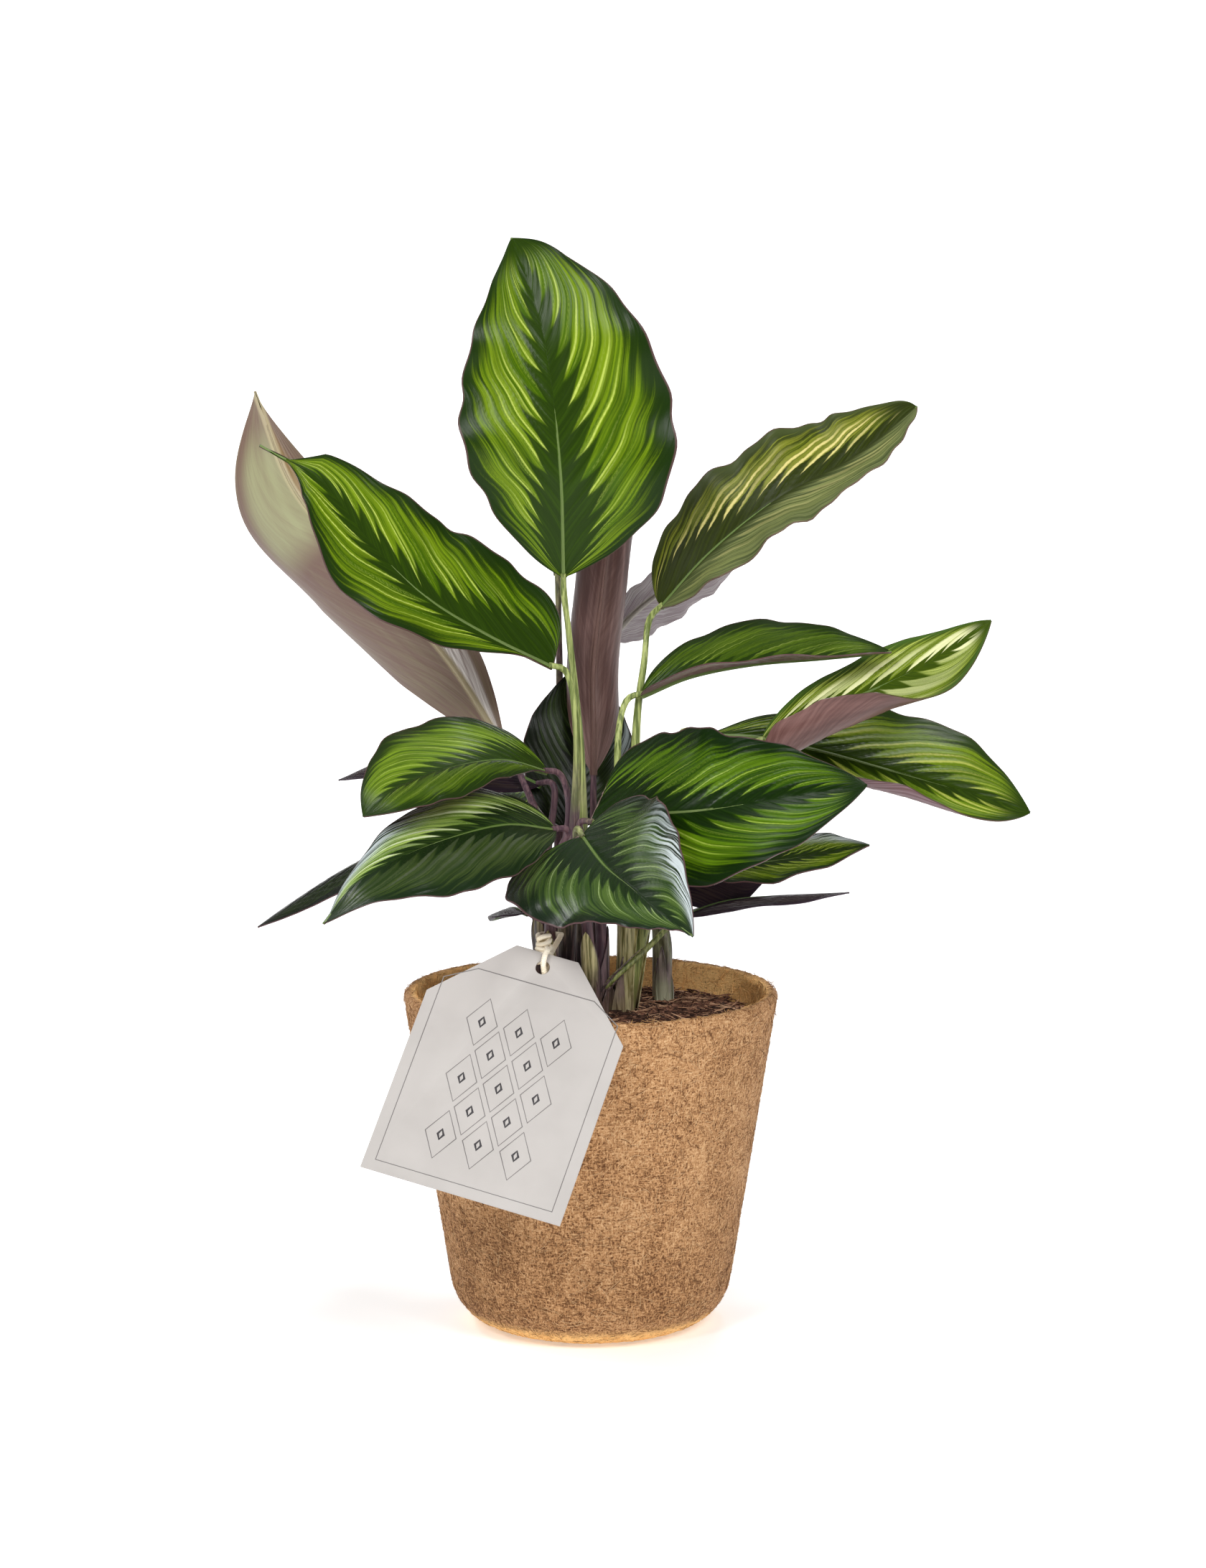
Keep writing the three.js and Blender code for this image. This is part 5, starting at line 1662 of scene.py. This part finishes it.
SOIL = Soil()
SHOOTS = (
    Shoot("left", (-14, 0.5), 7.5, tone=-0.35),
    Shoot("front_left", (-15, -13), 4.2, tone=-0.3),
    Shoot("centre", (0, 13), 7, tone=-0.3),
    Shoot("right", (9.5, -1), 7, share=0.7, tone=0.5),
    Shoot("front", (2, -14), 5.5, tone=-0.25),
    Shoot("back", (-14, 19), 7, tone=-0.5),
    Shoot("side", (27, 20), 6, PURPLE_STALK, share=0.42),
)
FIRST_SEED, SEED_STEP = 0.03, 0.0413  # seeds of the blades' patterns
BLADES = (
    Blade(
        "leaf_top", "centre", Look.FRESH,
        midrib=((-10, 4, 280), (-11, -4, 320), (-16, -2, 363), (-24, 6, 392), (-29, 12, 404)),
        face=((-0.1, -1, 0.2), (-0.15, -1, 0.35)),
        left=Half(35, 8, 10, 0.46, 0.85, 0.9),
        right=Half(44, 4, 6, 0.4, 0.85, 0.78),
        wave=Wave(2.5, 3, 0.04),
        stalk=((-3, 10, 165), (-4, 9, 215), (-8, 7, 258)),
    ),
    Blade(
        "leaf_upper_right", "right", Look.OLIVE,
        midrib=((26, 14, 268), (44, 4, 289), (68, -4, 309), (96, -8, 325), (119, -6, 343)),
        face=((-0.45, -0.65, 0.6), (-0.45, -0.7, 0.6)),
        left=Half(32, 2, -6, 0.34, 0.36, 0.5),
        right=Half(22.5, 16, 0, 0.42, 0.8, 0.6),
        wave=Wave(2, 4, 0.05),
        stalk=((15, 5, 160), (17, 11, 222), (20, 13, 248)),
        crinkle=0.55,
    ),
    Blade(
        "leaf_upper_left", "left", Look.FRESH,
        midrib=((-14, -8, 248), (-38, -18, 261), (-60, -28, 276), (-79, -36, 296), (-96, -42, 318),
                (-117, -48, 331)),
        face=((0.39, -0.77, 0.51), (0.3, -0.8, 0.5)),
        left=Half(22, 6, -10, 0.58, 2.0, 1.25),
        right=Half(31, 6, 0, 0.28, 0.2, 1.0),
        wave=Wave(2.2, 3, 0.04),
        stalk=((-9, -3, 150), (-6, -4, 190), (-5, -6, 220)),
        foot=3.5,
        drip=0.1,
    ),
    Blade(
        "leaf_rolled_left", "left", Look.PALE_ROLL,
        midrib=((-31, 25, 211), (-55, 32, 248), (-86, 38, 281), (-112, 40, 310), (-127, 46, 347)),
        face=((-0.2, 0.95, 0.2), (-0.3, 0.95, 0.1)),
        left=Half(25, 10, 90, 0.6, 1.2, 1.7),
        right=Half(38, 10, 78, 0.58, 1.25, 1.1),
        wave=Wave(0.5, 2, 0.02),
        stalk=((-15, 3, 150), (-17, 8, 180)),
    ),
    Blade(
        "leaf_rolled_centre", "centre", Look.MAUVE_ROLL,
        midrib=((1, 21, 204), (1, 23, 222), (1, 26, 245), (4, 26, 271), (7, 28, 295), (12, 32, 318)),
        face=((0, 1, 0), (-0.1, 1, 0)),
        left=Half(27, 10, 130, 0.65, 1.0, 0.6),
        right=Half(26, 10, 130, 0.65, 1.0, 0.6),
        wave=Wave(0.5, 2, 0.02),
        stalk=((1, 16, 160), (1, 19, 190)),
    ),
    Blade(
        "leaf_left_shoulder", "left", Look.DEEP,
        midrib=((-16, -6, 209), (-32, -20, 215), (-52, -36, 214), (-70, -48, 208), (-81, -54, 199)),
        face=((0.1, -0.5, 0.85), (-0.5, -0.5, 0.7)),
        left=Half(17, 15, -50, 0.72, 1, 0.6),
        right=Half(33, 6, -10, 0.48, 0.42, 0.85),
        wave=Wave(1, 3, 0.03),
        stalk=((-12, 0, 160), (-8, 2, 192)),
        blush=0.6,
    ),
    Blade(
        "leaf_behind_left", "back", Look.DUSK,
        midrib=((-19, 24, 200), (-46, 44, 208), (-77, 58, 205), (-98, 66, 196)),
        face=((0, -0.2, 1), (-0.2, 0, 1)),
        left=Half(18, -15, -20),
        right=Half(18, -15, -20),
        wave=Wave(1, 2, 0.02),
        stalk=((-18, 21, 160),),
        blush=0.4,
    ),
    Blade(
        "leaf_lower_left", "front_left", Look.SILVER,
        midrib=((-13, -17, 189), (-31, -33, 193), (-52, -49, 190), (-70, -61, 184), (-84, -69, 176),
                (-94, -76, 164)),
        face=((0.1, -0.5, 0.85), (-0.4, -0.6, 0.7)),
        left=Half(25, 0, -30, 0.45, 0.75, 0.9),
        right=Half(23, 14, -20, 0.3, 0.5, 1.6),
        wave=Wave(1, 3, 0.03),
        stalk=((-15, -13, 150), (-13, -11, 176)),
        blush=0.5,
    ),
    Blade(
        "leaf_low_left_back", "back", Look.SHADED,
        midrib=((-28, 14, 180), (-57, 20, 184), (-93, 28, 167), (-127, 32, 144)),
        face=((0, -0.2, 1), (-0.3, -0.2, 1)),
        left=Half(16, -10, -20),
        right=Half(16, -10, -20),
        wave=Wave(0.8, 2, 0.02),
        stalk=((-18, 20, 150), (-23, 17, 168)),
    ),
    Blade(
        "leaf_front", "front", Look.SLATE,
        midrib=((-3, -26, 188), (5, -50, 181), (14, -67, 176), (24, -82, 170), (36, -95, 163)),
        face=((-0.2, -0.55, 0.8), (-0.15, -0.75, 0.65)),
        left=Half(31, 34, -6, 0.36, 0.5, 0.8),
        right=Half(36, 4, -14, 0.2, 0.42, 1.5),
        wave=Wave(1.5, 3, 0.03),
        stalk=((-1, -17, 150), (-5, -19, 178)),
        crinkle=0.4,
    ),
    Blade(
        "leaf_middle_right", "front", Look.RICH,
        midrib=((0, -12, 191), (19, -34, 197), (41, -50, 201), (69, -60, 207), (98, -66, 212)),
        face=((-0.05, -0.75, 0.65), (-0.05, -0.7, 0.7)),
        left=Half(36, 6, 6, 0.24, 0.15, 0.8),
        right=Half(27, -20, -16, 0.42, 0.5, 0.8),
        wave=Wave(1.6, 3, 0.03),
        stalk=((4, -11, 150), (0, -9, 176)),
    ),
    Blade(
        "leaf_far_right", "right", Look.BRIGHT,
        midrib=((40, 14, 220), (62, 18, 219), (86, 16, 214), (115, 10, 206.5), (140, 4, 200),
                (163, -2, 193)),
        face=((0, -0.6, 0.8), (0.2, -0.6, 0.75)),
        left=Half(33, 4, -10, 0.6, 1.7, 0.9),
        right=Half(21, -44, 140, 0.62, 0.9, 0.8),
        wave=Wave(1.2, 3, 0.04),
        stalk=((19, 5, 150), (26, 9, 190)),
    ),
    Blade(
        "leaf_folded_right", "right", Look.CREAM,
        midrib=((63, -10, 221), (84, -12, 232), (105, -14, 241), (125, -16, 251), (146, -18, 266)),
        face=((-0.3, -0.6, 0.75), (-0.35, -0.6, 0.7)),
        left=Half(18, 0, 0, 0.5, 0.7, 0.8),
        right=Half(37, (-38, -22, 0), (190, 140, 10), 0.26, 0.12, 0.85),
        wave=Wave(0.8, 2, 0.02),
        stalk=((20, 2, 150), (36, -3, 192)),
    ),
    Blade(
        "leaf_arching_right", "right", Look.DEEP,
        midrib=((19, 6, 236), (37, 0, 244), (60, -6, 249), (85, -12, 251.5), (110, -16, 254)),
        face=((-0.2, -0.25, 0.95), (0.1, -0.3, 0.95)),
        left=Half(26, 20, -8),
        right=Half(15, 28, 0),
        wave=Wave(0.8, 3, 0.03),
        stalk=((13, 0, 160), (10, 2, 212)),
    ),
    Blade(
        "leaf_behind_upper_right", "side", Look.LILAC,
        midrib=((8, 56, 253), (18, 60, 263), (32, 64, 273), (47, 66, 281), (62, 66, 288)),
        face=((-0.5, 0.8, 0.3), (-0.5, 0.8, 0.3)),
        left=Half(20, 6, 20),
        right=Half(9, 6, 20),
        wave=Wave(1.5, 4, 0.06),
        stalk=((24, 28, 158), (12, 44, 215)),
        foot=1.6,
    ),
    Blade(
        "leaf_back_centre", "centre", Look.SHADED,
        midrib=((-8, 25, 183), (-6, 31, 200), (-4, 38, 219), (-4, 48, 243)),
        face=((0, -0.9, 0.4), (0, -0.8, 0.6)),
        left=Half(21, 6, 0, 0.5, 0.5, 0.85),
        right=Half(21, 6, 0),
        wave=Wave(1, 2, 0.02),
        stalk=((-2, 21, 150),),
    ),
    Blade(
        "leaf_lower_right", "front", Look.SHEEN,
        midrib=((42, 10, 171), (60, 4, 173), (81, -4, 177), (103, -10, 182)),
        face=((-0.1, -0.4, 0.9), (0, -0.4, 0.9)),
        left=Half(17, 4, 0),
        right=Half(13, 0, -10),
        wave=Wave(1, 3, 0.03),
        stalk=((0, -15, 123), (8, -13, 132), (21, -8, 143), (34, 1, 157)),
        foot=1.1,
        blush=-0.5,
    ),
    Blade(
        "leaf_dark_right", "side", Look.DUSK,
        midrib=((29, 30, 159), (44, 42, 164), (70, 58, 162)),
        face=((0, -0.3, 1), (0.1, -0.2, 1)),
        left=Half(15, -20, -20),
        right=Half(16, -35, -30),
        wave=Wave(0.8, 2, 0.02),
        stalk=((27, 25, 138),),
        foot=1.4,
    ),
    Blade(
        "leaf_slender_right", "side", Look.DUSK,
        midrib=((33, 27, 149), (56, 40, 153.5), (100, 58, 153)),
        face=((0, 0, 1), (0, 0, 1)),
        left=Half(8, -10, -20),
        right=Half(8, -10, -20),
        wave=Wave(0.5, 2, 0.02),
        stalk=((29, 22, 135),),
        foot=1.4,
    ),
    Blade(
        "leaf_low_left_tip", "back", Look.DUSK,
        midrib=((-24, 30, 150), (-31, 41, 150), (-38, 53, 143)),
        face=((0, 0, 1), (-0.2, 0.2, 1)),
        left=Half(9, -10, -10),
        right=Half(9, -10, -10),
        wave=Wave(0.5, 2, 0.02),
        stalk=((-17, 23, 136),),
        foot=1.4,
    ),
    Blade(
        "leaf_back_right", "side", Look.FRESH,
        midrib=((26, 40, 188), (40, 66, 196), (58, 92, 188), (70, 106, 174)),
        face=((-0.1, -0.2, 1), (0.3, 0.4, 0.9)),
        left=Half(27, -6, -10),
        right=Half(27, -6, -10),
        wave=Wave(1.5, 3, 0.04),
        stalk=((27, 28, 150),),
    ),
    Blade(
        "leaf_back_left", "back", Look.FRESH,
        midrib=((-28, 44, 186), (-38, 66, 193), (-50, 90, 188), (-62, 104, 176)),
        face=((0.1, -0.1, 1), (-0.3, 0.4, 0.9)),
        left=Half(26, -6, -10),
        right=Half(26, -6, -10),
        wave=Wave(1.5, 3, 0.04),
        stalk=((-21, 28, 155),),
    ),
    Blade(
        "leaf_back_top", "back", Look.FRESH,
        midrib=((-13, 62, 276), (-15, 74, 306), (-20, 84, 334), (-22, 92, 354)),
        face=((0, -0.8, 0.5), (0, -0.7, 0.6)),
        left=Half(21, 6, 6, 0.5, 1, 0.85),
        right=Half(21, 6, 6, 0.5, 1, 0.85),
        wave=Wave(1.5, 3, 0.04),
        stalk=((-12, 34, 165), (-12, 52, 225)),
    ),
)


def main() -> None:
    """Builds the sub-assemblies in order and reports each."""
    logging.basicConfig(level=logging.INFO, format="%(name)s: %(message)s")
    pot = Pot()
    pot.build()
    SOIL.build(pot)
    for shoot in SHOOTS:
        shoot.build([blade for blade in BLADES if blade.shoot == shoot.name])
    for number, blade in enumerate(BLADES):
        slot = "leaf_rolled" if blade.rolled else "leaf"
        hand_over(blade.build(FIRST_SEED + number * SEED_STEP), slot, blade.name)
    tag = Tag()
    tag.build()
    Twine().build(tag)
    Studio().build()


if __name__ == "__main__":
    main()
